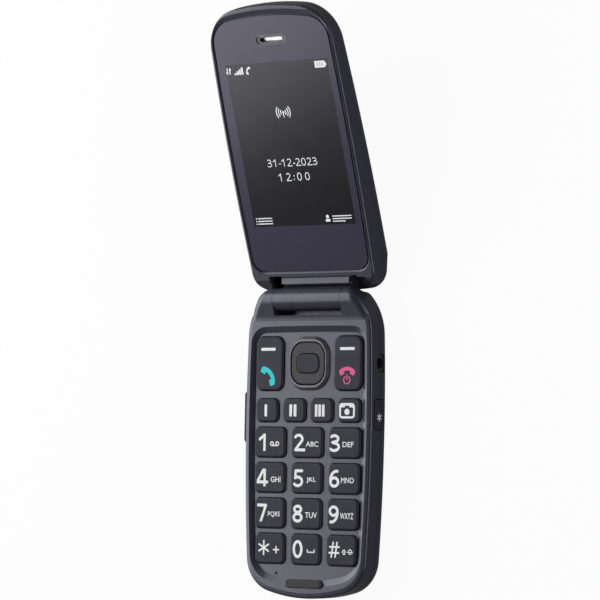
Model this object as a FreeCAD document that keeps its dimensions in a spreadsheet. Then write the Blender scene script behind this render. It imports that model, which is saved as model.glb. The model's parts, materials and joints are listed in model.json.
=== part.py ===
import FreeCAD, Part
import math
import os
import re
from typing import NamedTuple

import Sketcher
from FreeCAD import Placement, Rotation, Vector

# Flip phone with a barrel hinge, open as it lies on a table.
# Frame: +X to the phone's right, +Y from the keypad towards the hinge, +Z out of the keypad.
# The origin is the middle of the flat back, which the phone rests on. Millimetres.
# The lid is built in its own frame: x as the base's, y along the lid from the hinge axis,
# z out of its inner face. LID turns and carries that frame to the hinge.

SIZES = {
    # Hinge
    "hinge_y": 48.8,
    "hinge_z": 8.9,
    "knuckle_radius": 4.0,
    "barrel_half": 14.2,
    "barrel_side_gap": 0.15,
    "barrel_back_gap": 0.4,
    "open_angle": 161.2,
    "hinge_bore_radius": 2.6,
    "hinge_bore_end": 18.2,
    "hinge_fit": 0.05,
    # Base housing, plan
    "base_half_width": 26.62,
    "base_widest_y": 8.0,
    "side_radius": 800.0,
    "base_low_end": -53.0,
    "base_low_radius": 60.0,
    "base_low_corner": 12.3,
    "base_high_corner": 20.5,
    "base_high_turn": 63.2,
    "base_overrun": 1.5,
    # Base housing, heights
    "seam_z": 4.9,
    "deck_z": 9.6,
    "ridge_z": 10.3,
    "rim_z": 10.6,
    "rim_width": 1.8,
    "ridge_round": 0.9,
    "hump_round": 2.4,
    "hump_reach": 7.0,
    "hump_foot_radius": 9.0,
    "hump_foot_sink": 0.12,
    "hump_foot_fall": 1.0,
    "hump_start": 14.6,
    "hump_proud": 0.02,
    "nose_angle": 25.0,
    "back_round": 3.6,
    "case_wall": 1.5,
    "deck_wall": 1.3,
    # Keypad recess
    "recess_slope": 2.1,
    "recess_low_end": -49.2,
    "recess_low_radius": 62.0,
    "recess_low_corner": 10.0,
    "recess_setback": 9.1,
    "recess_high_radius": 900.0,
    "recess_high_corner": 6.0,
    "slot_reach": 5.5,
    # Battery cover and rear case
    "cover_setback": 5.8,
    "cover_wall": 1.2,
    "cover_floor": 1.1,
    "cover_inner_round": 1.8,
    "cover_gap": 0.15,
    "seam_gap": 0.1,
    "tray_wall": 1.0,
    "cavity_setback": 6.5,
    # Battery, its bay and the board above it
    "battery_width": 40.0,
    "battery_length": 53.0,
    "battery_thickness": 3.85,
    "battery_y": -6.5,
    "battery_corner": 1.2,
    "battery_gap": 0.2,
    "bay_wall": 0.8,
    "bay_floor_z": 5.25,
    "bay_top_z": 5.95,
    "board_z": 6.1,
    "board_thickness": 0.8,
    "board_side_gap": 3.72,
    "board_low_end": -48.5,
    "board_setback": 7.8,
    "board_gap": 0.2,
    "board_corner": 10.0,
    "switch_inset": 0.3,
    "switch_width": 2.0,
    "switch_length": 2.6,
    "switch_height": 0.9,
    "switch_spread": 4.6,
    "foil_inset": 0.3,
    "foil_low_end": -42.3,
    "foil_high_end": 37.2,
    "foil_thickness": 0.1,
    "foil_corner": 1.5,
    "dome_radius": 1.9,
    "dome_height": 0.2,
    "dome_round": 0.15,
    "membrane_thickness": 0.5,
    "membrane_high_end": 16.2,
    "membrane_hole_radius": 2.3,
    # Number keys
    "key_top_z": 10.55,
    "key_gap": 2.5,
    "key_depth": 10.55,
    "key_pitch": 12.09,
    "number_top_y": 5.23,
    "first_row_inset": 4.17,
    "second_row_inset": 4.32,
    "third_row_inset": 4.72,
    "fourth_row_inset": 5.22,
    "key_corner": 1.9,
    "key_edge_round": 0.8,
    "key_hole_gap": 0.15,
    "key_flange": 0.5,
    "key_flange_z": 7.95,
    "key_flange_thickness": 0.3,
    "key_travel": 0.3,
    "plunger_radius": 1.2,
    "plunger_gap": 0.05,
    # Memory and camera keys
    "function_y": 10.9,
    "function_depth": 8.2,
    "function_inset": 4.47,
    "function_gap": 2.0,
    # Rocker keys either side of the navigation pad
    "nav_y": 26.87,
    "rocker_depth": 18.5,
    "rocker_inset": 4.22,
    "rocker_side_gap": 2.1,
    "rocker_corner": 2.8,
    "rocker_flange_z": 7.6,
    "rocker_plunger_z": 7.52,
    "rocker_score_width": 0.25,
    "rocker_score_depth": 0.15,
    "rocker_score_y": 28.0,
    "rocker_hole_gap": 0.25,
    "rocker_dome_reach": 5.5,
    # Navigation pad
    "ring_width": 17.2,
    "ring_depth": 18.3,
    "ring_corner": 6.6,
    "ring_top_z": 10.8,
    "ring_bevel": 0.9,
    "ring_gap": 0.05,
    "ring_seat": 0.3,
    "pad_width": 14.2,
    "pad_depth": 14.5,
    "pad_corner": 4.9,
    "pad_top_z": 10.6,
    "pad_gap": 0.25,
    "pad_edge_round": 0.5,
    "pad_flange": 0.6,
    "pad_flange_z": 7.55,
    "pad_flange_thickness": 0.25,
    "pad_pocket_z": 8.75,
    "nav_dome_reach": 6.3,
    "nav_plate_side": 6.0,
    "nav_plate_z": 7.4,
    "nav_plate_thickness": 0.15,
    "nav_plate_hole": 1.5,
    "ok_width": 9.5,
    "ok_depth": 6.6,
    "ok_corner": 2.5,
    "ok_top_z": 10.85,
    "ok_gap": 0.2,
    "ok_flange_z": 8.0,
    "ok_edge_round": 0.45,
    # Side keys
    "torch_y": 9.65,
    "torch_length": 10.3,
    "torch_low_z": 3.1,
    "torch_high_z": 8.5,
    "volume_y": 8.55,
    "volume_length": 17.3,
    "volume_low_z": 3.6,
    "volume_high_z": 7.6,
    "side_key_corner": 1.1,
    "side_key_gap": 0.2,
    "side_key_proud": 0.4,
    "volume_cap_high_z": 9.4,
    "volume_cap_gap": 0.35,
    "volume_cap_proud": 1.2,
    "side_key_flange_depth": 2.52,
    "side_key_flange_thickness": 0.6,
    "side_key_flange_low": 5.1,
    "side_key_flange_high": 8.1,
    "side_key_flange_reach": 0.6,
    "side_key_round": 0.35,
    "side_opening_depth": 4.0,
    # Sockets
    "socket_depth": 0.92,
    "jack_y": 27.0,
    "jack_z": 4.75,
    "jack_radius": 1.8,
    "jack_side": 6.0,
    "jack_height": 4.6,
    "jack_length": 11.2,
    "jack_end_wall": 0.7,
    "jack_corner": 1.3,
    "jack_mouth_gap": 0.15,
    "usb_y": 31.0,
    "usb_width": 7.4,
    "usb_height": 2.5,
    "usb_depth": 5.6,
    "usb_wall": 0.3,
    "usb_back_wall": 1.0,
    "usb_tongue_inset": 0.5,
    "usb_tongue_corner": 0.1,
    "usb_corner": 0.5,
    "usb_mouth_gap": 0.35,
    # Lid bumper and microphone
    "bumper_y": -48.05,
    "bumper_length": 14.7,
    "bumper_width": 2.7,
    "bumper_corner": 0.8,
    "bumper_base_z": 9.2,
    "bumper_top_z": 11.5,
    "bumper_gap": 0.1,
    "bumper_round": 0.4,
    "microphone_x": -12.6,
    "microphone_y": -44.7,
    "microphone_hole": 0.45,
    "microphone_radius": 2.0,
    "microphone_height": 1.1,
    "microphone_port_depth": 0.3,
    "microphone_port": 0.4,
    # Screws of the base
    "base_screw_low_inset": 9.92,
    "base_screw_low_y": -44.3,
    "base_screw_high_inset": 6.62,
    "base_screw_high_y": 39.5,
    "boss_radius": 1.8,
    "post_radius": 2.1,
    "screw_radius": 0.7,
    "screw_head_radius": 1.5,
    "screw_head_height": 1.0,
    "screw_length": 5.1,
    "screw_head_z": 1.4,
    "screw_gap": 0.1,
    "screw_slot_half": 0.15,
    # Loudspeaker, motor, card holder, contacts, antenna
    "speaker_x": -3.0,
    "speaker_y": 32.0,
    "speaker_width": 20.0,
    "speaker_depth": 12.0,
    "speaker_height": 3.2,
    "speaker_corner": 1.5,
    "speaker_mouth_depth": 0.5,
    "speaker_mouth_sides": 4.0,
    "speaker_mouth_ends": 3.0,
    "speaker_mouth_corner": 1.0,
    "speaker_slot_width": 1.0,
    "speaker_slot_length": 9.0,
    "speaker_slot_pitch": 2.2,
    "speaker_slots": 4,
    "motor_y": -41.5,
    "motor_radius": 4.0,
    "motor_height": 2.7,
    "motor_round": 0.3,
    "sim_y": -5.0,
    "sim_width": 26.0,
    "sim_depth": 17.0,
    "sim_gap": 0.3,
    "sim_height": 0.7,
    "sim_recess": 0.3,
    "sim_side_rails": 1.2,
    "sim_end_rails": 1.8,
    "sim_window_corner": 1.0,
    "contacts_width": 10.0,
    "contacts_depth": 2.3,
    "contacts_height": 3.4,
    "contacts_gap": 0.1,
    "contact_pitch": 2.5,
    "contact_low": 0.8,
    "contact_high": 2.4,
    "contact_width": 1.0,
    "contact_corner": 0.05,
    "antenna_y": -48.8,
    "antenna_length": 20.0,
    "antenna_thickness": 0.4,
    "antenna_height": 3.2,
    "antenna_corner": 0.1,
    # Lid housing
    "lid_inset": 0.07,
    "lid_widest": 48.0,
    "lid_side_radius": 1100.0,
    "lid_low_end": 1.8,
    "lid_heel_slant": 14.0,
    "lid_deep": -16.0,
    "lid_low_radius": 200.0,
    "lid_low_corner": 6.5,
    "lid_high_end": 101.85,
    "lid_high_radius": 105.0,
    "lid_high_corner": 14.0,
    "lid_rim": -2.4,
    "lid_rim_slope": 0.5,
    "lid_rim_slope_high": 1.8,
    "lid_face": -2.85,
    "lid_back": -11.45,
    "lid_seam": -8.05,
    "lid_seam_gap": 0.05,
    "lid_front_round": 0.85,
    "lid_back_round": 1.6,
    "lid_taper": 2.66,
    "heel_clearance": 0.35,
    "lid_back_wall": 1.3,
    "lid_wall": 1.6,
    "lid_front_inner": -4.6,
    "lid_heel_length": 9.1,
    # Notch that clears the hinge shoulders, and the neck of the barrel
    "notch_half": 18.5,
    "notch_length": 7.7,
    "notch_floor": -5.0,
    "shelf_floor": -4.0,
    "shelf_length": 1.7,
    "shelf_slope_end": 6.4,
    "pocket_left": 18.5,
    "pocket_right": 23.4,
    "pocket_length": 6.9,
    "pocket_floor": -8.0,
    "pocket_corner": 1.5,
    "bar_low": 4.75,
    "bar_high": 6.6,
    "bar_face": -3.2,
    "groove_side_high": 2.9,
    "groove_side_face": -2.7,
    "groove_low": 4.1,
    "groove_floor": -5.6,
    "neck_back": -7.0,
    "neck_room_start": 1.0,
    "neck_room_low": 3.4,
    # Display window
    "window_inset": 1.75,
    "window_low_end": 9.4,
    "window_low_radius": 3000.0,
    "window_low_corner": 4.7,
    "window_high_end": 98.2,
    "window_high_radius": 110.0,
    "window_high_corner": 8.0,
    "window_face": -2.75,
    "window_back": -3.4,
    "window_gap": 0.35,
    "window_seat": -3.5,
    "window_edge_round": 0.15,
    # Display module
    "display_inset": 2.1,
    "display_low": 20.3,
    "display_high": 86.1,
    "display_face": -3.55,
    "display_thickness": 2.0,
    "display_gap": 0.2,
    "display_corner": 1.2,
    # Earpiece
    "ear_y": 89.9,
    "ear_width": 13.4,
    "ear_depth": 4.0,
    "ear_gap": 0.05,
    "ear_slot_width": 9.5,
    "ear_slot_depth": 1.5,
    "ear_room_depth": 3.0,
    "ear_room_corner": 1.4,
    "ear_dish": 0.4,
    "ear_lip": 0.55,
    "receiver_width": 12.0,
    "receiver_depth": 6.0,
    "receiver_height": 1.5,
    "receiver_corner": 1.5,
    # Lid board and what is on it
    "lid_board_half_width": 17.0,
    "lid_board_low": 14.0,
    "lid_board_high": 93.0,
    "lid_board_z": -7.1,
    "lid_board_thickness": 0.8,
    "lid_board_corner": 2.0,
    "chip_y": 45.0,
    "chip_side": 11.0,
    "chip_height": 1.2,
    "camera_y": 82.0,
    "camera_side": 8.0,
    "camera_barrel_radius": 2.9,
    "camera_window_radius": 4.2,
    "camera_window_thickness": 0.4,
    "camera_hole_radius": 3.2,
    "camera_rim_depth": 0.65,
    "camera_lift": 0.3,
    "led_x": 9.5,
    "led_side": 3.0,
    "led_radius": 1.6,
    # Screws of the lid
    "lid_screw_low_inset": 6.05,
    "lid_screw_low_y": 14.6,
    "lid_screw_high_x": 17.5,
    "lid_screw_high_y": 91.0,
    "lid_screw_length": 3.4,
    "lid_screw_head": 0.6,
    "lid_boss_radius": 1.9,
    # Hinge cartridge
    "sleeve_left": -13.9,
    "sleeve_right": -2.0,
    "sleeve_wall": 0.5,
    "sleeve_end": 0.9,
    "cam_journal_end": -11.5,
    "follower_length": 2.2,
    "spring_wire": 0.25,
    "spring_radius": 1.45,
    "spring_turns": 5.0,
    "shaft_radius": 0.75,
    "bush_inner_end": 10.0,
    "bush_bore_radius": 1.9,
    # Flex cable through the hinge
    "flex_thickness": 0.2,
    "flex_width": 3.0,
    "flex_roll_radius": 1.6,
    "flex_roll_left": -1.0,
    "flex_roll_right": 9.4,
    "flex_x": 6.0,
    "flex_exit_x": 15.9,
    "flex_passage_width": 3.5,
    "flex_channel_low": 7.2,
    "flex_channel_high": 8.2,
    # Small clearances and edges
    "contact_gap": 0.05,
    "small_corner": 0.3,
}

# Sizes that follow others: what lies in from the side wall keeps its distance to it
FOLLOWING = {
    "board_half_width": "=base_half_width - board_side_gap",
    "switch_x": "=board_half_width - switch_inset",
    "foil_half_width": "=board_half_width - foil_inset",
    "base_screw_low_x": "=base_half_width - base_screw_low_inset",
    "base_screw_high_x": "=base_half_width - base_screw_high_inset",
    "first_row_half": "=base_half_width - first_row_inset",
    "second_row_half": "=base_half_width - second_row_inset",
    "third_row_half": "=base_half_width - third_row_inset",
    "fourth_row_half": "=base_half_width - fourth_row_inset",
    "function_half": "=base_half_width - function_inset",
    "rocker_outer_x": "=base_half_width - rocker_inset",
    "rocker_width": "=rocker_outer_x - ring_width / 2 - rocker_side_gap",
    "side_key_flange_x": "=base_half_width - side_key_flange_depth",
    "jack_outer_x": "=base_half_width - socket_depth",
    "jack_inner_x": "=jack_outer_x - jack_length",
    "usb_outer_x": "=socket_depth - base_half_width",
    "lid_half_width": "=base_half_width - lid_inset",
    "window_half_width": "=lid_half_width - window_inset",
    "display_width": "=2 * (window_half_width - display_inset)",
    "lid_screw_low_x": "=lid_half_width - lid_screw_low_inset",
}

doc = FreeCAD.newDocument("flip_phone")
sheet = doc.addObject("Spreadsheet::Sheet", "sizes")
for row, (alias, content) in enumerate({**SIZES, **FOLLOWING}.items(), start=1):
    sheet.set(f"A{row}", alias)
    sheet.set(f"B{row}", str(content))
    sheet.setAlias(f"B{row}", alias)
doc.recompute()


# Reading and binding sizes

def expression(text):
    """The text with every alias written as the sheet's cell."""
    return re.sub(r"[a-z][a-z_]*", lambda word: qualified(word.group()), str(text))


def qualified(word):
    return f"sizes.{word}" if word in SIZES or word in FOLLOWING else word


def size(text):
    """The number that an expression of aliases gives."""
    return float(sheet.evalExpression(expression(text)))


def bind(item, path, text):
    """Ties one property of an object to an expression of aliases."""
    item.setExpression(path, expression(text))


LID = Placement(
    Vector(0, size("hinge_y"), size("hinge_z")),
    Rotation(Vector(1, 0, 0), 180 - size("open_angle")),
)


def carry_to_lid(item):
    """Puts an object that was built in the lid's frame onto the hinge."""
    item.Placement = LID
    bind(item, "Placement.Base.y", "hinge_y")
    bind(item, "Placement.Base.z", "hinge_z")
    bind(item, "Placement.Rotation.Angle", "(180 - open_angle) * 1 deg")


# PartDesign bodies from sketches that lie on the XY plane, or on YZ for pieces along X

sub_parts = []
sketch_planes = {}


def new_body(label, on_lid=False, plane="XY_Plane"):
    """Body whose sketches all lie parallel to one of its origin planes."""
    body = doc.addObject("PartDesign::Body", label)
    body.Label = label
    sketch_planes[label] = plane
    if on_lid:
        carry_to_lid(body)
    sub_parts.append(body)
    return body


def new_sketch(body, x, y, level):
    """Empty sketch on the body's plane, its centre at (x, y) and its height at level."""
    role = sketch_planes[body.Label]
    planes = [item for item in body.Origin.OriginFeatures if item.Role == role]
    sketch = body.newObject("Sketcher::SketchObject", f"{body.Name}_sketch")
    sketch.AttachmentSupport = [(planes[0], "")]
    sketch.MapMode = "FlatFace"
    bind(sketch, "AttachmentOffset.Base.x", x)
    bind(sketch, "AttachmentOffset.Base.y", y)
    bind(sketch, "AttachmentOffset.Base.z", level)
    return sketch


def named_dimension(sketch, name, constraint, text):
    index = sketch.addConstraint(constraint)
    sketch.renameConstraint(index, name)
    bind(sketch, f"Constraints.{name}", text)


def draw_rounded_rectangle(sketch, width, depth, corner):
    """Rectangle with round corners, centred on the sketch, fully constrained."""
    half_x = size(f"({width}) / 2 - ({corner})")
    half_y = size(f"({depth}) / 2 - ({corner})")
    radius = size(corner)
    centres = [(half_x, -half_y), (half_x, half_y), (-half_x, half_y), (-half_x, -half_y)]
    arcs = []
    for quarter, (x, y) in enumerate(centres):
        start = math.radians(90 * quarter - 90)
        circle = Part.Circle(Vector(x, y, 0), Vector(0, 0, 1), radius)
        arcs.append(sketch.addGeometry(Part.ArcOfCircle(circle, start, start + math.pi / 2), False))
    lines = []
    for quarter in range(4):
        start = sketch.Geometry[arcs[quarter]].EndPoint
        end = sketch.Geometry[arcs[(quarter + 1) % 4]].StartPoint
        lines.append(sketch.addGeometry(Part.LineSegment(start, end), False))
    for quarter in range(4):
        sketch.addConstraint(Sketcher.Constraint("Tangent", arcs[quarter], 2, lines[quarter], 1))
        following = arcs[(quarter + 1) % 4]
        sketch.addConstraint(Sketcher.Constraint("Tangent", lines[quarter], 2, following, 1))
    sketch.addConstraint(Sketcher.Constraint("Vertical", lines[0]))
    sketch.addConstraint(Sketcher.Constraint("Horizontal", lines[1]))
    for arc in arcs[1:]:
        sketch.addConstraint(Sketcher.Constraint("Equal", arcs[0], arc))
    sketch.addConstraint(Sketcher.Constraint("Symmetric", arcs[0], 3, arcs[2], 3, -1, 1))
    named_dimension(sketch, "corner", Sketcher.Constraint("Radius", arcs[0], radius), corner)
    across = Sketcher.Constraint("DistanceX", arcs[2], 3, arcs[0], 3, 2 * half_x)
    named_dimension(sketch, "across", across, f"({width}) - 2 * ({corner})")
    along = Sketcher.Constraint("DistanceY", arcs[0], 3, arcs[2], 3, 2 * half_y)
    named_dimension(sketch, "along", along, f"({depth}) - 2 * ({corner})")


def draw_circles(sketch, centres, radius):
    """Circles of one radius, each centre given as a pair of expressions."""
    for number, (x, y) in enumerate(centres, start=1):
        spot = Vector(size(x), size(y), 0)
        circle = sketch.addGeometry(Part.Circle(spot, Vector(0, 0, 1), size(radius)), False)
        reach = Sketcher.Constraint("Radius", circle, size(radius))
        named_dimension(sketch, f"radius_{number}", reach, radius)
        side = Sketcher.Constraint("DistanceX", -1, 1, circle, 3, spot.x)
        named_dimension(sketch, f"x_{number}", side, x)
        up = Sketcher.Constraint("DistanceY", -1, 1, circle, 3, spot.y)
        named_dimension(sketch, f"y_{number}", up, y)


def pad(body, sketch, height):
    """Adds the sketch's shape, from the sketch upwards by height."""
    feature = body.newObject("PartDesign::Pad", f"{body.Name}_pad")
    feature.Profile = sketch
    bind(feature, "Length", height)
    return feature


def pocket(body, sketch, depth):
    """Cuts the sketch's shape, from the sketch downwards by depth."""
    feature = body.newObject("PartDesign::Pocket", f"{body.Name}_pocket")
    feature.Profile = sketch
    bind(feature, "Length", depth)
    return feature


def add_block(body, x, y, low, high, width, depth, corner="small_corner"):
    sketch = new_sketch(body, x, y, low)
    draw_rounded_rectangle(sketch, width, depth, corner)
    return pad(body, sketch, f"({high}) - ({low})")


def cut_block(body, x, y, low, high, width, depth, corner="small_corner"):
    sketch = new_sketch(body, x, y, high)
    draw_rounded_rectangle(sketch, width, depth, corner)
    return pocket(body, sketch, f"({high}) - ({low})")


def add_discs(body, centres, low, high, radius):
    sketch = new_sketch(body, 0, 0, low)
    draw_circles(sketch, centres, radius)
    return pad(body, sketch, f"({high}) - ({low})")


def cut_discs(body, centres, low, high, radius):
    sketch = new_sketch(body, 0, 0, high)
    draw_circles(sketch, centres, radius)
    return pocket(body, sketch, f"({high}) - ({low})")


def dress_level_edges(body, kind, level, amount):
    """Rounds or bevels every edge of the body's last feature that lies at one height."""
    doc.recompute()
    base = body.Tip
    height = size(level)
    along_x = sketch_planes[body.Label] == "YZ_Plane"
    edges = []
    for number, edge in enumerate(base.Shape.Edges, start=1):
        bounds = edge.BoundBox
        low, high = (bounds.XMin, bounds.XMax) if along_x else (bounds.ZMin, bounds.ZMax)
        if abs(low - height) < 1e-4 and abs(high - height) < 1e-4:
            edges.append(f"Edge{number}")
    feature = body.newObject(f"PartDesign::{kind}", f"{body.Name}_{kind.lower()}")
    feature.Base = (base, edges)
    bind(feature, "Radius" if kind == "Fillet" else "Size", amount)
    body.Tip = feature
    return feature


def shaped(label, shape, on_lid=False):
    """A housing whose curved form is worked out below as one shape."""
    feature = doc.addObject("Part::Feature", label)
    feature.Label = label
    feature.Shape = shape
    if on_lid:
        carry_to_lid(feature)
    sub_parts.append(feature)
    return feature


# Shapes shared by the housings

def arc_edge(centre, radius, start, end, level):
    spots = []
    for turn in (start, (start + end) / 2, end):
        x = centre.x + radius * math.cos(turn)
        y = centre.y + radius * math.sin(turn)
        spots.append(Vector(x, y, level))
    return Part.Arc(*spots).toShape()


def heading(start, end):
    return math.atan2(end.y - start.y, end.x - start.x)


class Outline:
    """Plan of a housing, alike on both sides: long side arcs, two ends and four corner arcs."""

    def __init__(self, half_width, widest, side_radius, low, high):
        self.side_radius = side_radius
        self.side_centre = Vector(half_width - side_radius, widest, 0)
        self.low_end, self.low_radius, self.low_corner = low
        self.high_end, self.high_radius, self.high_corner = high
        self.low_centre = Vector(0, self.low_end + self.low_radius, 0)
        self.low_corner_centre = self.corner_centre(self.low_centre, self.low_radius, self.low_corner)
        self.high_centre = Vector(0, self.high_end - self.high_radius, 0)
        self.high_corner_centre = self.corner_centre(
            self.high_centre, self.high_radius, self.high_corner
        )

    def corner_centre(self, end_centre, end_radius, corner):
        """Centre of the arc that touches the side arc and the end arc from inside."""
        side_reach = self.side_radius - corner
        end_reach = end_radius - corner
        gap = end_centre.sub(self.side_centre)
        along = (side_reach**2 - end_reach**2 + gap.Length**2) / (2 * gap.Length)
        aside = math.sqrt(side_reach**2 - along**2)
        axis = Vector(gap).normalize()
        foot = self.side_centre.add(axis * along)
        normal = Vector(-axis.y, axis.x, 0) * aside
        spots = [foot.add(normal), foot.sub(normal)]
        low = end_centre is self.low_centre
        return min(spots, key=lambda spot: spot.y if low else -spot.y)

    def high_edges(self, inset, level):
        """Right corner, end and left corner at the upper end, and where the side stops."""
        centre = self.high_corner_centre
        side_turn = heading(self.side_centre, centre)
        end_turn = heading(self.high_centre, centre)
        mirrored = Vector(-centre.x, centre.y, 0)
        corner = self.high_corner - inset
        edges = [
            arc_edge(centre, corner, side_turn, end_turn, level),
            arc_edge(self.high_centre, self.high_radius - inset, end_turn, math.pi - end_turn, level),
            arc_edge(mirrored, corner, math.pi - end_turn, math.pi - side_turn, level),
        ]
        return edges, side_turn

    def wire(self, inset, level):
        """Closed wire at a height, every arc moved inwards by inset."""
        low = self.low_corner_centre
        low_end_turn = heading(self.low_centre, low)
        low_side_turn = heading(self.side_centre, low)
        low_left = Vector(-low.x, low.y, 0)
        corner = self.low_corner - inset
        side = self.side_radius - inset
        side_left = Vector(-self.side_centre.x, self.side_centre.y, 0)
        high, high_side_turn = self.high_edges(inset, level)
        edges = [
            arc_edge(self.low_centre, self.low_radius - inset, -math.pi - low_end_turn, low_end_turn, level),
            arc_edge(low, corner, low_end_turn, low_side_turn, level),
            arc_edge(self.side_centre, side, low_side_turn, high_side_turn, level),
            *high,
            arc_edge(side_left, side, math.pi - high_side_turn, math.pi - low_side_turn, level),
            arc_edge(low_left, corner, math.pi - low_side_turn, math.pi - low_end_turn, level),
        ]
        return Part.Wire(edges)

    def prism(self, inset, low, high):
        return Part.Face(self.wire(inset, low)).extrude(Vector(0, 0, high - low))


class BaseOutline(Outline):
    """The base's plan: at the hinge its corner arcs run on past the knuckles to a straight end."""

    def __init__(self, half_width, widest, side_radius, low, corner_radius, turn, far_end):
        self.side_radius = side_radius
        self.side_centre = Vector(half_width - side_radius, widest, 0)
        self.low_end, self.low_radius, self.low_corner = low
        self.low_centre = Vector(0, self.low_end + self.low_radius, 0)
        self.low_corner_centre = self.corner_centre(self.low_centre, self.low_radius, self.low_corner)
        self.high_corner = corner_radius
        self.far_end = far_end
        corner_y = far_end - corner_radius * math.sin(math.radians(turn))
        across = math.sqrt((side_radius - corner_radius) ** 2 - (corner_y - widest) ** 2)
        self.high_corner_centre = Vector(self.side_centre.x + across, corner_y, 0)

    def high_edges(self, inset, level):
        centre = self.high_corner_centre
        side_turn = heading(self.side_centre, centre)
        corner = self.high_corner - inset
        end_turn = math.asin((self.far_end - inset - centre.y) / corner)
        mirrored = Vector(-centre.x, centre.y, 0)
        right = arc_edge(centre, corner, side_turn, end_turn, level)
        left = arc_edge(mirrored, corner, math.pi - end_turn, math.pi - side_turn, level)
        x = centre.x + corner * math.cos(end_turn)
        y = self.far_end - inset
        end = Part.makeLine(Vector(x, y, level), Vector(-x, y, level))
        return [right, end, left], side_turn


base_outline = BaseOutline(
    size("base_half_width"),
    size("base_widest_y"),
    size("side_radius"),
    (size("base_low_end"), size("base_low_radius"), size("base_low_corner")),
    size("base_high_corner"),
    size("base_high_turn"),
    size("hinge_y + knuckle_radius + base_overrun"),
)
recess_outline = Outline(
    size("base_half_width - rim_width"),
    size("base_widest_y"),
    size("side_radius - rim_width"),
    (size("recess_low_end"), size("recess_low_radius"), size("recess_low_corner")),
    (size("hinge_y - recess_setback"), size("recess_high_radius"), size("recess_high_corner")),
)
lid_outline = Outline(
    size("lid_half_width"),
    size("lid_widest"),
    size("lid_side_radius"),
    (size("lid_low_end"), size("lid_low_radius"), size("lid_low_corner")),
    (size("lid_high_end"), size("lid_high_radius"), size("lid_high_corner")),
)
lid_deep_outline = Outline(
    size("lid_half_width"),
    size("lid_widest"),
    size("lid_side_radius"),
    (
        size("lid_low_end - (lid_rim - lid_deep) * tan(lid_heel_slant * 1 deg)"),
        size("lid_low_radius"),
        size("lid_low_corner"),
    ),
    (size("lid_high_end"), size("lid_high_radius"), size("lid_high_corner")),
)
window_outline = Outline(
    size("window_half_width"),
    size("lid_widest"),
    size("lid_side_radius"),
    (size("window_low_end"), size("window_low_radius"), size("window_low_corner")),
    (size("window_high_end"), size("window_high_radius"), size("window_high_corner")),
)

rim_outline = Outline(
    size("window_half_width + window_gap + lid_rim_slope"),
    size("lid_widest"),
    size("lid_side_radius"),
    (
        size("window_low_end - window_gap - lid_rim_slope"),
        size("window_low_radius"),
        size("window_low_corner + window_gap + lid_rim_slope"),
    ),
    (
        size("window_high_end + window_gap + lid_rim_slope_high"),
        size("window_high_radius"),
        size("window_high_corner + window_gap + lid_rim_slope"),
    ),
)

FAR = 80.0


def box(x_low, x_high, y_low, y_high, z_low, z_high):
    corner = Vector(x_low, y_low, z_low)
    return Part.makeBox(x_high - x_low, y_high - y_low, z_high - z_low, corner)


def rounded_prism(x, y, width, depth, corner, low, high):
    """Upright prism with round corners, centred at (x, y)."""
    half_x = width / 2 - corner
    half_y = depth / 2 - corner
    spots = [(half_x, -half_y), (half_x, half_y), (-half_x, half_y), (-half_x, -half_y)]
    arcs = []
    for quarter, (across, along) in enumerate(spots):
        start = math.radians(90 * quarter - 90)
        centre = Vector(x + across, y + along, 0)
        arcs.append(arc_edge(centre, corner, start, start + math.pi / 2, low))
    edges = []
    for quarter, arc in enumerate(arcs):
        following = arcs[(quarter + 1) % 4]
        edges.append(arc)
        edges.append(Part.makeLine(arc.Vertexes[-1].Point, following.Vertexes[0].Point))
    return Part.Face(Part.Wire(edges)).extrude(Vector(0, 0, high - low))


def side_prism(y, z, length, height, corner, x_low, x_high):
    """Prism along X with round corners, centred at (y, z)."""
    upright = rounded_prism(-z, y, height, length, corner, x_low, x_high)
    upright.rotate(Vector(0, 0, 0), Vector(0, 1, 0), 90)
    return upright


def disc(x, y, radius, low, high):
    return Part.makeCylinder(radius, high - low, Vector(x, y, low))


def rod(y, z, radius, x_low, x_high):
    """Cylinder along X."""
    return Part.makeCylinder(radius, x_high - x_low, Vector(x_low, y, z), Vector(1, 0, 0))


def strip(points, x_low, x_high):
    """Polygon of (y, z) points carried along X."""
    corners = [Vector(x_low, y, z) for y, z in points]
    face = Part.Face(Part.makePolygon([*corners, corners[0]]))
    return face.extrude(Vector(x_high - x_low, 0, 0))


def level_edges(shape, level):
    """Edges of a shape that lie at one height."""
    chosen = []
    for edge in shape.Edges:
        bounds = edge.BoundBox
        if abs(bounds.ZMin - level) < 1e-4 and abs(bounds.ZMax - level) < 1e-4:
            chosen.append(edge)
    return chosen


# Outer form of the base

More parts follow.
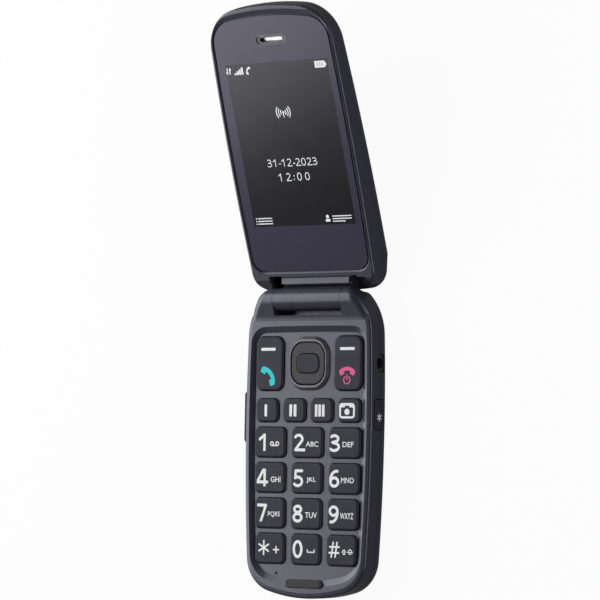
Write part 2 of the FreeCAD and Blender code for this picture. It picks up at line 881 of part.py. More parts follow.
def nose_face(low, high, start):
    """Side view of the hinge end: upright below the parting line, above it slanted end, knuckle, slope."""
    axis = Vector(0, size("hinge_y"), size("hinge_z"))
    radius = size("knuckle_radius")
    foot = Vector(0, size("hinge_y - hump_reach"), size("rim_z"))
    reach = axis.sub(foot)
    lean = math.atan2(reach.z, reach.y) + math.asin(radius / reach.Length)
    top = axis.add(Vector(0, -math.sin(lean), math.cos(lean)) * radius)
    nose = -math.radians(size("nose_angle"))
    side = axis.add(Vector(0, math.cos(nose), math.sin(nose)) * radius)
    down = Vector(0, math.sin(nose), -math.cos(nose))
    end_low = side.add(down * ((side.z - low) / -down.z))
    if high <= side.z:
        end_high = side.add(down * ((side.z - high) / -down.z))
        end_low = Vector(0, end_high.y, low)
        corners = [Vector(0, start, low), end_low, end_high, Vector(0, start, high)]
        return Part.Face(Part.makePolygon([*corners, corners[0]]))
    middle = (lean + math.pi / 2 + nose) / 2
    between = axis.add(Vector(0, math.cos(middle), math.sin(middle)) * radius)
    sweep = size("hump_foot_radius")
    lift = sweep - size("hump_foot_sink")
    fall = -math.radians(size("hump_foot_fall"))
    sweep_axis = foot.add(Vector(0, (lift - sweep / math.cos(lean)) / math.tan(lean), lift))
    sweep_points = []
    for turn in (lean, (lean + fall) / 2, fall):
        sweep_points.append(sweep_axis.add(Vector(0, math.sin(turn), -math.cos(turn)) * sweep))
    sweep_end = sweep_points[-1]
    buried = Vector(0, start, sweep_end.z + (start - sweep_end.y) * math.tan(-fall))
    edges = [
        Part.makeLine(Vector(0, start, low), end_low),
        Part.makeLine(end_low, side),
        Part.Arc(side, between, top).toShape(),
        Part.makeLine(top, sweep_points[0]),
        Part.Arc(*sweep_points).toShape(),
        Part.makeLine(sweep_end, buried),
        Part.makeLine(buried, Vector(0, start, low)),
    ]
    return Part.Face(Part.Wire(edges))


def across_base(face):
    """A side view carried over the whole width."""
    placed = face.translated(Vector(-FAR, 0, 0))
    return placed.extrude(Vector(2 * FAR, 0, 0))


def is_upright_line(edge):
    if edge.Curve.TypeId != "Part::GeomLine":
        return False
    return abs(edge.Curve.Direction.z) > 0.999


def is_on_wall(edge, wall):
    """True where an edge lies on the upright wall of the plan."""
    first, last = edge.ParameterRange
    for share in (0.25, 0.5, 0.75):
        spot = edge.valueAt(first + share * (last - first))
        if wall.distToShape(Part.Vertex(spot))[0] > 1e-3:
            return False
    return True


def wall_of(prism):
    """The upright faces of a prism, as one shell."""
    upright = [face for face in prism.Faces if abs(face.normalAt(0, 0).z) < 0.5]
    return Part.makeShell(upright)


def front_form():
    """Everything of the base above the parting line, before it is hollowed."""
    seam = size("seam_z")
    slab = Part.makeLoft(
        [
            base_outline.wire(0, seam),
            base_outline.wire(0, size("ridge_z")),
            base_outline.wire(size("rim_width"), size("rim_z")),
        ],
        True,
        True,
    )
    slab = slab.makeFillet(size("ridge_round"), level_edges(slab, size("ridge_z")))
    slab = slab.cut(box(-FAR, FAR, size("hinge_y - slot_reach"), FAR, -FAR, FAR))
    start = size("hinge_y - hump_start")
    plan = base_outline.prism(-size("hump_proud"), seam, FAR)
    hump = across_base(nose_face(seam, FAR, start)).common(plan)
    wall = wall_of(plan)
    ridge = []
    for edge in hump.Edges:
        bounds = edge.BoundBox
        on_seam = bounds.ZMax < seam + 1e-4
        on_start = bounds.YMax < start + 1e-4
        if not on_seam and not on_start and not is_upright_line(edge) and is_on_wall(edge, wall):
            ridge.append(edge)
    hump = hump.makeFillet(size("hump_round"), ridge)
    return slab.fuse(hump)


def rear_form():
    """Everything of the base below the parting line, with its rounded back."""
    plan = base_outline.prism(0, 0, size("seam_z"))
    form = across_base(nose_face(0, size("seam_z"), -FAR)).common(plan)
    end_corners = []
    for edge in form.Edges:
        bounds = edge.BoundBox
        if bounds.YMin > size("hinge_y - cover_setback") and bounds.ZLength > 1:
            end_corners.append(edge)
    form = form.makeFillet(size("hump_round"), end_corners)
    return form.makeFillet(size("back_round"), level_edges(form, 0))


# Places that several pieces share, as expressions of the sizes

TORCH_Z = "(torch_low_z + torch_high_z) / 2"
TORCH_HEIGHT = "(torch_high_z - torch_low_z)"
VOLUME_Z = "(volume_low_z + volume_high_z) / 2"
VOLUME_HEIGHT = "(volume_high_z - volume_low_z)"
USB_Z = "board_z - contact_gap - usb_height / 2"
FLOOR_TOP = "cover_floor + cover_gap + tray_wall + contact_gap"
DOME_TOP = "board_z + board_thickness + contact_gap + foil_thickness + dome_height"
PLUNGER_END = f"{DOME_TOP} + key_travel + plunger_gap"
ROCKER_X = "rocker_outer_x - rocker_width / 2"
JACK_NOTCH = ("(jack_inner_x - board_gap + base_half_width) / 2", "jack_y")
JACK_NOTCH_WIDTH = "base_half_width - jack_inner_x + board_gap"
CAMERA_BACK = "(lid_back + (camera_y - lid_widest) * tan(lid_taper * 1 deg))"
LID_CABLE_Z = "lid_board_z + lid_board_thickness + contact_gap"


class KeyCell(NamedTuple):
    """Place and size of one key in the deck, as expressions of the sizes."""

    name: str
    x: str
    y: str
    width: str
    depth: str
    corner: str


def number_keys():
    names = ["key_1", "key_2", "key_3", "key_4", "key_5", "key_6", "key_7", "key_8", "key_9"]
    names += ["key_star", "key_0", "key_hash"]
    halves = ["first_row_half", "second_row_half", "third_row_half", "fourth_row_half"]
    cells = []
    for number, name in enumerate(names):
        row, column = divmod(number, 3)
        width = f"((2 * {halves[row]} - 2 * key_gap) / 3)"
        x = f"({column - 1} * ({width} + key_gap))"
        y = f"(number_top_y - key_depth / 2 - {row} * key_pitch)"
        cells.append(KeyCell(name, x, y, width, "key_depth", "key_corner"))
    return cells


def function_keys():
    width = "((2 * function_half - 3 * function_gap) / 4)"
    cells = []
    for number, name in enumerate(["memory_key_1", "memory_key_2", "memory_key_3", "camera_key"]):
        x = f"({number - 1.5} * ({width} + function_gap))"
        cells.append(KeyCell(name, x, "function_y", width, "function_depth", "key_corner"))
    return cells


straight_keys = number_keys() + function_keys()
rocker_size = ("nav_y", "rocker_width", "rocker_depth", "rocker_corner")
rocker_keys = [
    KeyCell("left_rocker_key", f"-({ROCKER_X})", *rocker_size),
    KeyCell("right_rocker_key", f"({ROCKER_X})", *rocker_size),
]
nav_pad_cell = KeyCell("nav_pad", "0", "nav_y", "pad_width", "pad_depth", "pad_corner")


# Base

def front_hollows():
    """Everything that is cut out of the front case, as a list of tools."""
    seam = size("seam_z")
    deck = size("deck_z")
    ceiling = size("deck_z - deck_wall")
    slope = size("recess_slope")
    recess = Part.makeLoft(
        [
            recess_outline.wire(slope, deck),
            recess_outline.wire(0, size("rim_z")),
            recess_outline.wire(0, FAR),
        ],
        True,
        True,
    )
    inside = base_outline.prism(size("case_wall"), -FAR, ceiling)
    cavity = inside.common(box(-FAR, FAR, -FAR, size("hinge_y - cavity_setback"), -FAR, FAR))
    slot_half = size("barrel_half + barrel_side_gap")
    slot = box(-slot_half, slot_half, size("hinge_y - slot_reach"), FAR, -FAR, FAR)
    bore_end = size("hinge_bore_end")
    axis_y = size("hinge_y")
    axis_z = size("hinge_z")
    bore = rod(axis_y, axis_z, size("hinge_bore_radius"), -bore_end, bore_end)
    channel = box(
        size("flex_exit_x - flex_passage_width / 2"),
        size("flex_exit_x + flex_passage_width / 2"),
        size("hinge_y - cavity_setback - 1"),
        axis_y - 1,
        size("flex_channel_low"),
        size("flex_channel_high"),
    )
    tools = [recess, cavity, slot, bore, channel]
    tools.append(disc(size("microphone_x"), size("microphone_y"), size("microphone_hole"), 0, FAR))
    tools.append(
        rounded_prism(
            0,
            size("bumper_y"),
            size("bumper_length + 2 * bumper_gap"),
            size("bumper_width + 2 * bumper_gap"),
            size("bumper_corner + bumper_gap"),
            size("bumper_base_z - contact_gap"),
            FAR,
        )
    )
    for key in straight_keys:
        tools.append(key_opening(key, "key_hole_gap"))
    for key in rocker_keys:
        tools.append(key_opening(key, "rocker_hole_gap"))
    tools.append(key_opening(nav_pad_cell, "pad_gap"))
    seat = rounded_prism(
        0,
        size("nav_y"),
        size("ring_width + 2 * ring_gap"),
        size("ring_depth + 2 * ring_gap"),
        size("ring_corner + ring_gap"),
        size("deck_z - ring_seat"),
        FAR,
    )
    tools.append(seat)
    tools.extend(side_openings())
    return tools


def key_opening(key, gap):
    """Opening in the deck for one key, the gap wide all round."""
    return rounded_prism(
        size(key.x),
        size(key.y),
        size(f"{key.width} + 2 * {gap}"),
        size(f"{key.depth} + 2 * {gap}"),
        size(f"{key.corner} + {gap}"),
        size("deck_z - 2 * deck_wall"),
        FAR,
    )


def side_opening(side, y, z, length, height, corner, gap):
    """Opening through the side walls of the cases and the cover."""
    inner = size("base_half_width - side_opening_depth")
    opening = side_prism(
        size(y),
        size(z),
        size(f"{length} + 2 * {gap}"),
        size(f"{height} + 2 * {gap}"),
        size(f"{corner} + {gap}"),
        inner,
        FAR,
    )
    return opening if side > 0 else opening.mirror(Vector(0, 0, 0), Vector(1, 0, 0))


def side_openings():
    return [
        side_opening(1, "torch_y", TORCH_Z, "torch_length", TORCH_HEIGHT, "side_key_corner", "side_key_gap"),
        side_opening(
            -1, "volume_y", VOLUME_Z, "volume_length", VOLUME_HEIGHT, "side_key_corner", "side_key_gap"
        ),
        side_opening(1, "jack_y", "jack_z", "jack_side", "jack_height", "jack_corner", "jack_mouth_gap"),
        side_opening(-1, "usb_y", USB_Z, "usb_width", "usb_height", "usb_corner", "usb_mouth_gap"),
    ]


def screw_places():
    """Centres of the four screws of the base."""
    places = []
    for side in (-1, 1):
        places.append((side * size("base_screw_low_x"), size("base_screw_low_y")))
        places.append((side * size("base_screw_high_x"), size("base_screw_high_y")))
    return places


def build_front_case():
    case = front_form().cut(front_hollows())
    ceiling = size("deck_z - deck_wall")
    low = size("seam_z + contact_gap")
    bosses = [disc(x, y, size("boss_radius"), low, ceiling + 0.2) for x, y in screw_places()]
    pilot = size("screw_radius + contact_gap")
    holes = [disc(x, y, pilot, low - 1, ceiling) for x, y in screw_places()]
    case = case.fuse(bosses).cut(holes).removeSplitter()
    shaped("base_front_case", case)


def grille_slots():
    """Slots in front of the loudspeaker, through the cover and the tray."""
    count = int(size("speaker_slots"))
    slots = []
    for number in range(count):
        offset = (number - (count - 1) / 2) * size("speaker_slot_pitch")
        slots.append(
            rounded_prism(
                size("speaker_x"),
                size("speaker_y") + offset,
                size("speaker_slot_length"),
                size("speaker_slot_width"),
                size("speaker_slot_width") / 2 - 0.01,
                -1,
                size("cover_floor + cover_gap + tray_wall") + 0.1,
            )
        )
    return slots


def rounded_floor_prism(inset, floor, radius):
    """The base's plan from a floor upwards, with the floor's edge rounded."""
    prism = base_outline.prism(inset, floor, FAR)
    return prism.makeFillet(radius, level_edges(prism, floor))


def build_battery_cover():
    end = size("hinge_y - cover_setback")
    form = rear_form().common(box(-FAR, FAR, -FAR, end, -FAR, size("seam_z - seam_gap")))
    inner = rounded_floor_prism(size("cover_wall"), size("cover_floor"), size("cover_inner_round"))
    cover = form.cut([inner, *side_openings(), *grille_slots()])
    shaped("battery_cover", cover)


def build_rear_case():
    end = size("hinge_y - cover_setback + cover_gap")
    block = rear_form().common(box(-FAR, FAR, end, FAR, -FAR, FAR))
    tray_inset = size("cover_wall + cover_gap")
    tray_floor = size("cover_floor + cover_gap")
    seam = size("seam_z")
    tray_form = rounded_floor_prism(tray_inset, tray_floor, size("cover_inner_round"))
    tray_form = tray_form.common(box(-FAR, FAR, -FAR, end + 0.2, -FAR, seam))
    cavity_inset = size("cover_wall + cover_gap + tray_wall")
    cavity = base_outline.prism(cavity_inset, size("cover_floor + cover_gap + tray_wall"), FAR)
    cavity = cavity.common(box(-FAR, FAR, -FAR, size("hinge_y - cavity_setback"), -FAR, FAR))
    tray = tray_form.cut(cavity)
    bay_half = size("battery_width / 2 + battery_gap")
    bay_low = size("battery_y - battery_length / 2 - battery_gap")
    bay_high = size("battery_y + battery_length / 2 + battery_gap")
    wall = size("bay_wall")
    top = size("bay_top_z")
    shell = box(-bay_half - wall, bay_half + wall, bay_low - wall, bay_high + wall, tray_floor, top)
    bay = box(-bay_half, bay_half, bay_low, bay_high, -FAR, size("bay_floor_z"))
    post_top = size("seam_z - contact_gap")
    posts = [disc(x, y, size("post_radius"), tray_floor, post_top) for x, y in screw_places()]
    posts = [post.common(tray_form) for post in posts]
    seat_top = size("screw_head_z + screw_head_height + contact_gap")
    seats = [disc(x, y, size("screw_head_radius + screw_gap"), 0, seat_top) for x, y in screw_places()]
    holes = [disc(x, y, size("screw_radius + screw_gap"), 0, FAR) for x, y in screw_places()]
    gap = size("sim_gap")
    card_window = rounded_prism(
        0,
        size("sim_y"),
        size("sim_width") + 2 * gap,
        size("sim_depth") + 2 * gap,
        size("sim_window_corner"),
        0,
        FAR,
    )
    contact_half = size("contacts_width / 2 + contacts_gap")
    contact_window = box(-contact_half, contact_half, bay_high - 0.1, bay_high + wall + 0.1, 2, FAR)
    barrel_room = rod(
        size("hinge_y"),
        size("hinge_z"),
        size("knuckle_radius + barrel_back_gap"),
        -size("barrel_half + barrel_side_gap"),
        size("barrel_half + barrel_side_gap"),
    )
    neck_room = box(
        -size("barrel_half + barrel_side_gap"),
        size("barrel_half + barrel_side_gap"),
        size("hinge_y + neck_room_start"),
        FAR,
        size("neck_room_low"),
        FAR,
    )
    case = block.fuse([tray, shell, *posts])
    rooms = [bay, card_window, contact_window, barrel_room, neck_room, *seats, *holes]
    case = case.cut([*rooms, *side_openings(), *grille_slots()])
    shaped("base_rear_case", case.removeSplitter())


def screw(x, y, head_low, head_height, shank_end, upward):
    """Screw whose head starts at head_low; the shank points up or down from the head."""
    head = disc(x, y, size("screw_head_radius"), head_low, head_low + head_height)
    if upward:
        shank = disc(x, y, size("screw_radius"), head_low + head_height - 0.01, shank_end)
    else:
        shank = disc(x, y, size("screw_radius"), shank_end, head_low + 0.01)
    cross = size("screw_head_radius")
    slot = size("screw_slot_half")
    depth = head_height / 2
    slot_low = head_low if upward else head_low + head_height - depth
    drive = [
        box(x - cross / 2, x + cross / 2, y - slot, y + slot, slot_low, slot_low + depth),
        box(x - slot, x + slot, y - cross / 2, y + cross / 2, slot_low, slot_low + depth),
    ]
    return head.fuse(shank).cut(drive).removeSplitter()


def build_base_screws():
    low = size("screw_head_z")
    height = size("screw_head_height")
    end = low + height + size("screw_length")
    screws = [screw(x, y, low, height, end, True) for x, y in screw_places()]
    shaped("base_screws", Part.makeCompound(screws))


def build_base_inside():
    body = new_body("battery")
    low = "cover_floor + cover_gap"
    add_block(
        body, 0, "battery_y", low, f"{low} + battery_thickness", "battery_width", "battery_length", "battery_corner"
    )

    body = new_body("main_board")
    top = "board_z + board_thickness"
    length = "hinge_y - board_setback - board_low_end"
    middle = f"board_low_end + ({length}) / 2"
    add_block(body, 0, middle, "board_z", top, "2 * board_half_width", length, "board_corner")
    screws = []
    for side in ("-1", "1"):
        screws.append((f"{side} * base_screw_low_x", "base_screw_low_y"))
        screws.append((f"{side} * base_screw_high_x", "base_screw_high_y"))
    cut_discs(body, screws, "board_z", top, "boss_radius + board_gap")
    cut_block(body, *JACK_NOTCH, "board_z", top, JACK_NOTCH_WIDTH, "jack_side + 2 * board_gap")
    switches = [("switch_x", "torch_y")]
    switches.append(("-switch_x", "volume_y - switch_spread"))
    switches.append(("-switch_x", "volume_y + switch_spread"))
    for x, y in switches:
        add_block(body, x, y, "board_z - switch_height", "board_z", "switch_width", "switch_length")

    body = new_body("key_dome_sheet")
    foil_low = f"{top} + contact_gap"
    foil_top = f"{foil_low} + foil_thickness"
    length = "foil_high_end - foil_low_end"
    middle = f"foil_low_end + ({length}) / 2"
    add_block(body, 0, middle, foil_low, foil_top, "2 * foil_half_width", length, "foil_corner")
    cut_block(body, *JACK_NOTCH, foil_low, foil_top, JACK_NOTCH_WIDTH, "jack_side + 2 * board_gap")
    domes = [(key.x, key.y) for key in straight_keys]
    for x in (f"-({ROCKER_X})", ROCKER_X):
        domes.append((x, "nav_y - rocker_dome_reach"))
        domes.append((x, "nav_y + rocker_dome_reach"))
    domes.append(("0", "nav_y"))
    domes.append(("nav_dome_reach", "nav_y"))
    domes.append(("-nav_dome_reach", "nav_y"))
    domes.append(("0", "nav_y + nav_dome_reach"))
    domes.append(("0", "nav_y - nav_dome_reach"))
    add_discs(body, domes, foil_top, DOME_TOP, "dome_radius")
    dress_level_edges(body, "Fillet", DOME_TOP, "dome_round")

    body = new_body("keypad_membrane")
    low = f"{foil_top} + contact_gap"
    high = f"{low} + membrane_thickness"
    length = "membrane_high_end - foil_low_end"
    middle = f"foil_low_end + ({length}) / 2"
    add_block(body, 0, middle, low, high, "2 * foil_half_width", length, "foil_corner")
    cut_discs(body, [(key.x, key.y) for key in straight_keys], low, high, "membrane_hole_radius")

    body = new_body("sim_card_holder")
    high = "board_z - contact_gap"
    low = f"{high} - sim_height"
    add_block(body, 0, "sim_y", low, high, "sim_width", "sim_depth")
    card = ("sim_width - sim_side_rails", "sim_depth - sim_end_rails")
    cut_block(body, 0, "sim_y", low, f"{low} + sim_recess", *card)
    cut_block(body, 0, "sim_y", low, high, "sim_width / 2", "sim_depth / 2")

    body = new_body("battery_contacts")
    bay_end = "battery_y + battery_length / 2 + battery_gap"
    y = f"{bay_end} + contacts_gap + contacts_depth / 2"
    low = FLOOR_TOP
    high = f"{low} + contacts_height"
    add_block(body, 0, y, low, high, "contacts_width", "contacts_depth")
    for x in ("-contact_pitch", "0", "contact_pitch"):
        finger = ("contact_width", "2 * contacts_gap", "contact_corner")
        add_block(body, x, bay_end, f"{low} + contact_low", f"{low} + contact_high", *finger)

    body = new_body("loudspeaker")
    low = FLOOR_TOP
    high = f"{low} + speaker_height"
    add_block(body, "speaker_x", "speaker_y", low, high, "speaker_width", "speaker_depth", "speaker_corner")
    cut_block(
        body,
        "speaker_x",
        "speaker_y",
        low,
        f"{low} + speaker_mouth_depth",
        "speaker_width - speaker_mouth_sides",
        "speaker_depth - speaker_mouth_ends",
        "speaker_mouth_corner",
    )

    body = new_body("vibration_motor")
    add_discs(body, [("0", "motor_y")], FLOOR_TOP, f"{FLOOR_TOP} + motor_height", "motor_radius")
    dress_level_edges(body, "Fillet", f"{FLOOR_TOP} + motor_height", "motor_round")

    body = new_body("microphone")
    low = f"{top} + contact_gap"
    spot = [("microphone_x", "microphone_y")]
    add_discs(body, spot, low, f"{low} + microphone_height", "microphone_radius")
    high = f"{low} + microphone_height"
    cut_discs(body, spot, f"{high} - microphone_port_depth", high, "microphone_port")

    body = new_body("antenna_strip")
    high = f"{FLOOR_TOP} + antenna_height"
    add_block(body, 0, "antenna_y", FLOOR_TOP, high, "antenna_length", "antenna_thickness", "antenna_corner")


def build_sockets():
    body = new_body("usb_socket", plane="YZ_Plane")
    outer = "usb_outer_x"
    inner = "usb_outer_x + usb_depth"
    add_block(body, "usb_y", USB_Z, outer, inner, "usb_width", "usb_height", "usb_corner")
    cavity_width = "usb_width - 2 * usb_wall"
    cavity_height = "usb_height - 2 * usb_wall"
    back = f"{inner} - usb_back_wall"
    cut_block(body, "usb_y", USB_Z, outer, back, cavity_width, cavity_height, "usb_corner / 2")
    tongue = ("usb_width * 0.6", "usb_height * 0.25", "usb_tongue_corner")
    add_block(body, "usb_y", USB_Z, f"{outer} + usb_tongue_inset", back, *tongue)

    body = new_body("headset_socket", plane="YZ_Plane")
    outer = "jack_outer_x"
    inner = "jack_inner_x"
    add_block(body, "jack_y", "jack_z", inner, outer, "jack_side", "jack_height", "jack_corner")
    cut_discs(body, [("jack_y", "jack_z")], f"{inner} + jack_end_wall", outer, "jack_radius")


def build_straight_key(key, top, edge_round):
    body = new_body(key.name)
    add_block(body, key.x, key.y, "key_flange_z", top, key.width, key.depth, key.corner)
    dress_level_edges(body, "Fillet", top, edge_round)
    add_block(
        body,
        key.x,
        key.y,
        "key_flange_z",
        "key_flange_z + key_flange_thickness",
        f"{key.width} + 2 * key_flange",
        f"{key.depth} + 2 * key_flange",
        f"{key.corner} + key_flange",
    )
    add_discs(body, [(key.x, key.y)], PLUNGER_END, "key_flange_z", "plunger_radius")


def build_rocker_key(key):
    body = new_body(key.name)
    low = "rocker_flange_z"
    add_block(body, key.x, key.y, low, "key_top_z", key.width, key.depth, key.corner)
    dress_level_edges(body, "Fillet", "key_top_z", "key_edge_round")
    cut_block(
        body,
        key.x,
        "rocker_score_y",
        "key_top_z - rocker_score_depth",
        "key_top_z",
        f"{key.width} + 1",
        "rocker_score_width",
        "0.05",
    )
    add_block(
        body,
        key.x,
        key.y,
        low,
        f"{low} + key_flange_thickness",
        f"{key.width} + 2 * key_flange",
        f"{key.depth} + 2 * key_flange",
        f"{key.corner} + key_flange",
    )
    plungers = [(key.x, f"nav_y {sign} rocker_dome_reach") for sign in "+-"]
    add_discs(body, plungers, "rocker_plunger_z", low, "plunger_radius")


def build_navigation():
    body = new_body("nav_trim_ring")
    low = "deck_z - ring_seat + contact_gap"
    add_block(body, 0, "nav_y", low, "ring_top_z", "ring_width", "ring_depth", "ring_corner")
    dress_level_edges(body, "Chamfer", "ring_top_z", "ring_bevel")
    opening = ("pad_width + 2 * pad_gap", "pad_depth + 2 * pad_gap", "pad_corner + pad_gap")
    cut_block(body, 0, "nav_y", low, "ring_top_z", *opening)

    body = new_body("nav_pad")
    low = "pad_flange_z"
    add_block(body, 0, "nav_y", low, "pad_top_z", "pad_width", "pad_depth", "pad_corner")
    dress_level_edges(body, "Fillet", "pad_top_z", "pad_edge_round")
    add_block(
        body,
        0,
        "nav_y",
        low,
        f"{low} + pad_flange_thickness",
        "pad_width + 2 * pad_flange",
        "pad_depth + 2 * pad_flange",
        "pad_corner + pad_flange",
    )
    opening = ("ok_width + 2 * ok_gap", "ok_depth + 2 * ok_gap", "ok_corner + ok_gap")
    cut_block(body, 0, "nav_y", low, "pad_top_z", *opening)
    room = "2 * key_flange + 4 * ok_gap"
    cut_block(body, 0, "nav_y", low, "pad_pocket_z", f"ok_width + {room}", f"ok_depth + {room}", "1")

    body = new_body("nav_plate")
    high = "nav_plate_z + nav_plate_thickness"
    add_block(body, 0, "nav_y", "nav_plate_z", high, "nav_plate_side", "nav_plate_side", "0.5")
    cut_discs(body, [("0", "nav_y")], "nav_plate_z", high, "nav_plate_hole")

    body = new_body("ok_key")
    low = "ok_flange_z"
    add_block(body, 0, "nav_y", low, "ok_top_z", "ok_width", "ok_depth", "ok_corner")
    dress_level_edges(body, "Fillet", "ok_top_z", "ok_edge_round")
    flange = ("ok_width + 2 * key_flange", "ok_depth + 2 * key_flange", "ok_corner")
    add_block(body, 0, "nav_y", low, f"{low} + key_flange_thickness", *flange)
    add_discs(body, [("0", "nav_y")], PLUNGER_END, low, "plunger_radius")


def build_side_key(label, side, y, z, length, height):
    """Side key: its stem crosses the wall and a flange holds it inside."""
    body = new_body(label, plane="YZ_Plane")
    face = "base_half_width + side_key_proud"
    root = "side_key_flange_x"
    rim = "side_key_flange_x + side_key_flange_thickness"
    if side < 0:
        face, root, rim = f"-({face})", f"-({root})", f"-({rim})"
    stem = (root, face) if side > 0 else (face, root)
    flange = (root, rim) if side > 0 else (rim, root)
    add_block(body, y, z, *stem, length, height, "side_key_corner")
    if side > 0:
        dress_level_edges(body, "Fillet", face, "side_key_round")
    flange_z = "(side_key_flange_low + side_key_flange_high) / 2"
    flange_height = "side_key_flange_high - side_key_flange_low"
    flange_length = f"{length} + 2 * side_key_flange_reach"
    add_block(body, y, flange_z, *flange, flange_length, flange_height)
    return body


def build_volume_rocker():
    """The stem and flange of a side key, with a cap outside that reaches higher."""
    body = build_side_key("volume_rocker", -1, "volume_y", VOLUME_Z, "volume_length", VOLUME_HEIGHT)
    inner = "-(base_half_width + volume_cap_gap)"
    outer = "-(base_half_width + volume_cap_proud)"
    middle = "(volume_low_z + volume_cap_high_z) / 2"
    height = "volume_cap_high_z - volume_low_z"
    add_block(body, "volume_y", middle, outer, inner, "volume_length", height, "side_key_corner")
    dress_level_edges(body, "Fillet", outer, "side_key_round")


def build_bumper():
    body = new_body("lid_bumper")
    low = "bumper_base_z"
    add_block(body, 0, "bumper_y", low, "bumper_top_z", "bumper_length", "bumper_width", "bumper_corner")
    dress_level_edges(body, "Fillet", "bumper_top_z", "bumper_round")


# Lid

def back_height(y):
    """Height of the lid's back at a distance from the hinge; the lid is thicker at the hinge."""
    return size("lid_back") + (y - size("lid_widest")) * math.tan(math.radians(size("lid_taper")))


def heel_height(y):
    """Height that keeps the open lid's heel clear of the table."""
    rise = math.radians(180 - size("open_angle"))
    return -(size("hinge_z") - size("heel_clearance")) / math.cos(rise) - y * math.tan(rise)


def above_back(lift):
    """Side view of the room above the back and the heel, raised by lift, over the whole width."""
    slope = math.tan(math.radians(size("lid_taper")))
    rise = math.tan(math.radians(180 - size("open_angle")))
    corner = (heel_height(0) - back_height(0)) / (slope + rise)
    points = [
        (-FAR, heel_height(-FAR) + lift),
        (corner, back_height(corner) + lift),
        (2 * FAR, back_height(2 * FAR) + lift),
        (2 * FAR, FAR),
        (-FAR, FAR),
    ]
    return strip(points, -FAR, FAR)


def above_seam(gap):
    """The room on the window's side of the lid's parting plane."""
    lift = size("lid_seam") - size("lid_back") + gap
    points = [
        (-FAR, back_height(-FAR) + lift),
        (2 * FAR, back_height(2 * FAR) + lift),
        (2 * FAR, FAR),
        (-FAR, FAR),
    ]
    return strip(points, -FAR, FAR)


def lid_form():
    """The whole lid before it is split and hollowed."""
    rim = size("lid_rim")
    wires = [lid_deep_outline.wire(0, size("lid_deep")), lid_outline.wire(0, rim)]
    form = Part.makeLoft(wires, True, True).common(above_back(0))
    back = []
    for edge in form.Edges:
        first, last = edge.ParameterRange
        spots = [edge.valueAt(first + share * (last - first)) for share in (0.1, 0.5, 0.9)]
        if all(spot.z < max(back_height(spot.y), heel_height(spot.y)) + 1e-3 for spot in spots):
            back.append(edge)
    form = form.makeFillet(size("lid_back_round"), back)
    return form.makeFillet(size("lid_front_round"), level_edges(form, rim))


def lid_cavity(low, high):
    """Room inside the lid between two heights, closed towards the hinge."""
    room = lid_outline.prism(size("lid_wall"), low, high)
    return room.common(box(-FAR, FAR, size("lid_heel_length"), 2 * FAR, -FAR, FAR))


def lid_screw_places():
    """Centres of the four screws of the lid."""
    places = []
    for side in (-1, 1):
        places.append((side * size("lid_screw_low_x"), size("lid_screw_low_y")))
        places.append((side * size("lid_screw_high_x"), size("lid_screw_high_y")))
    return places


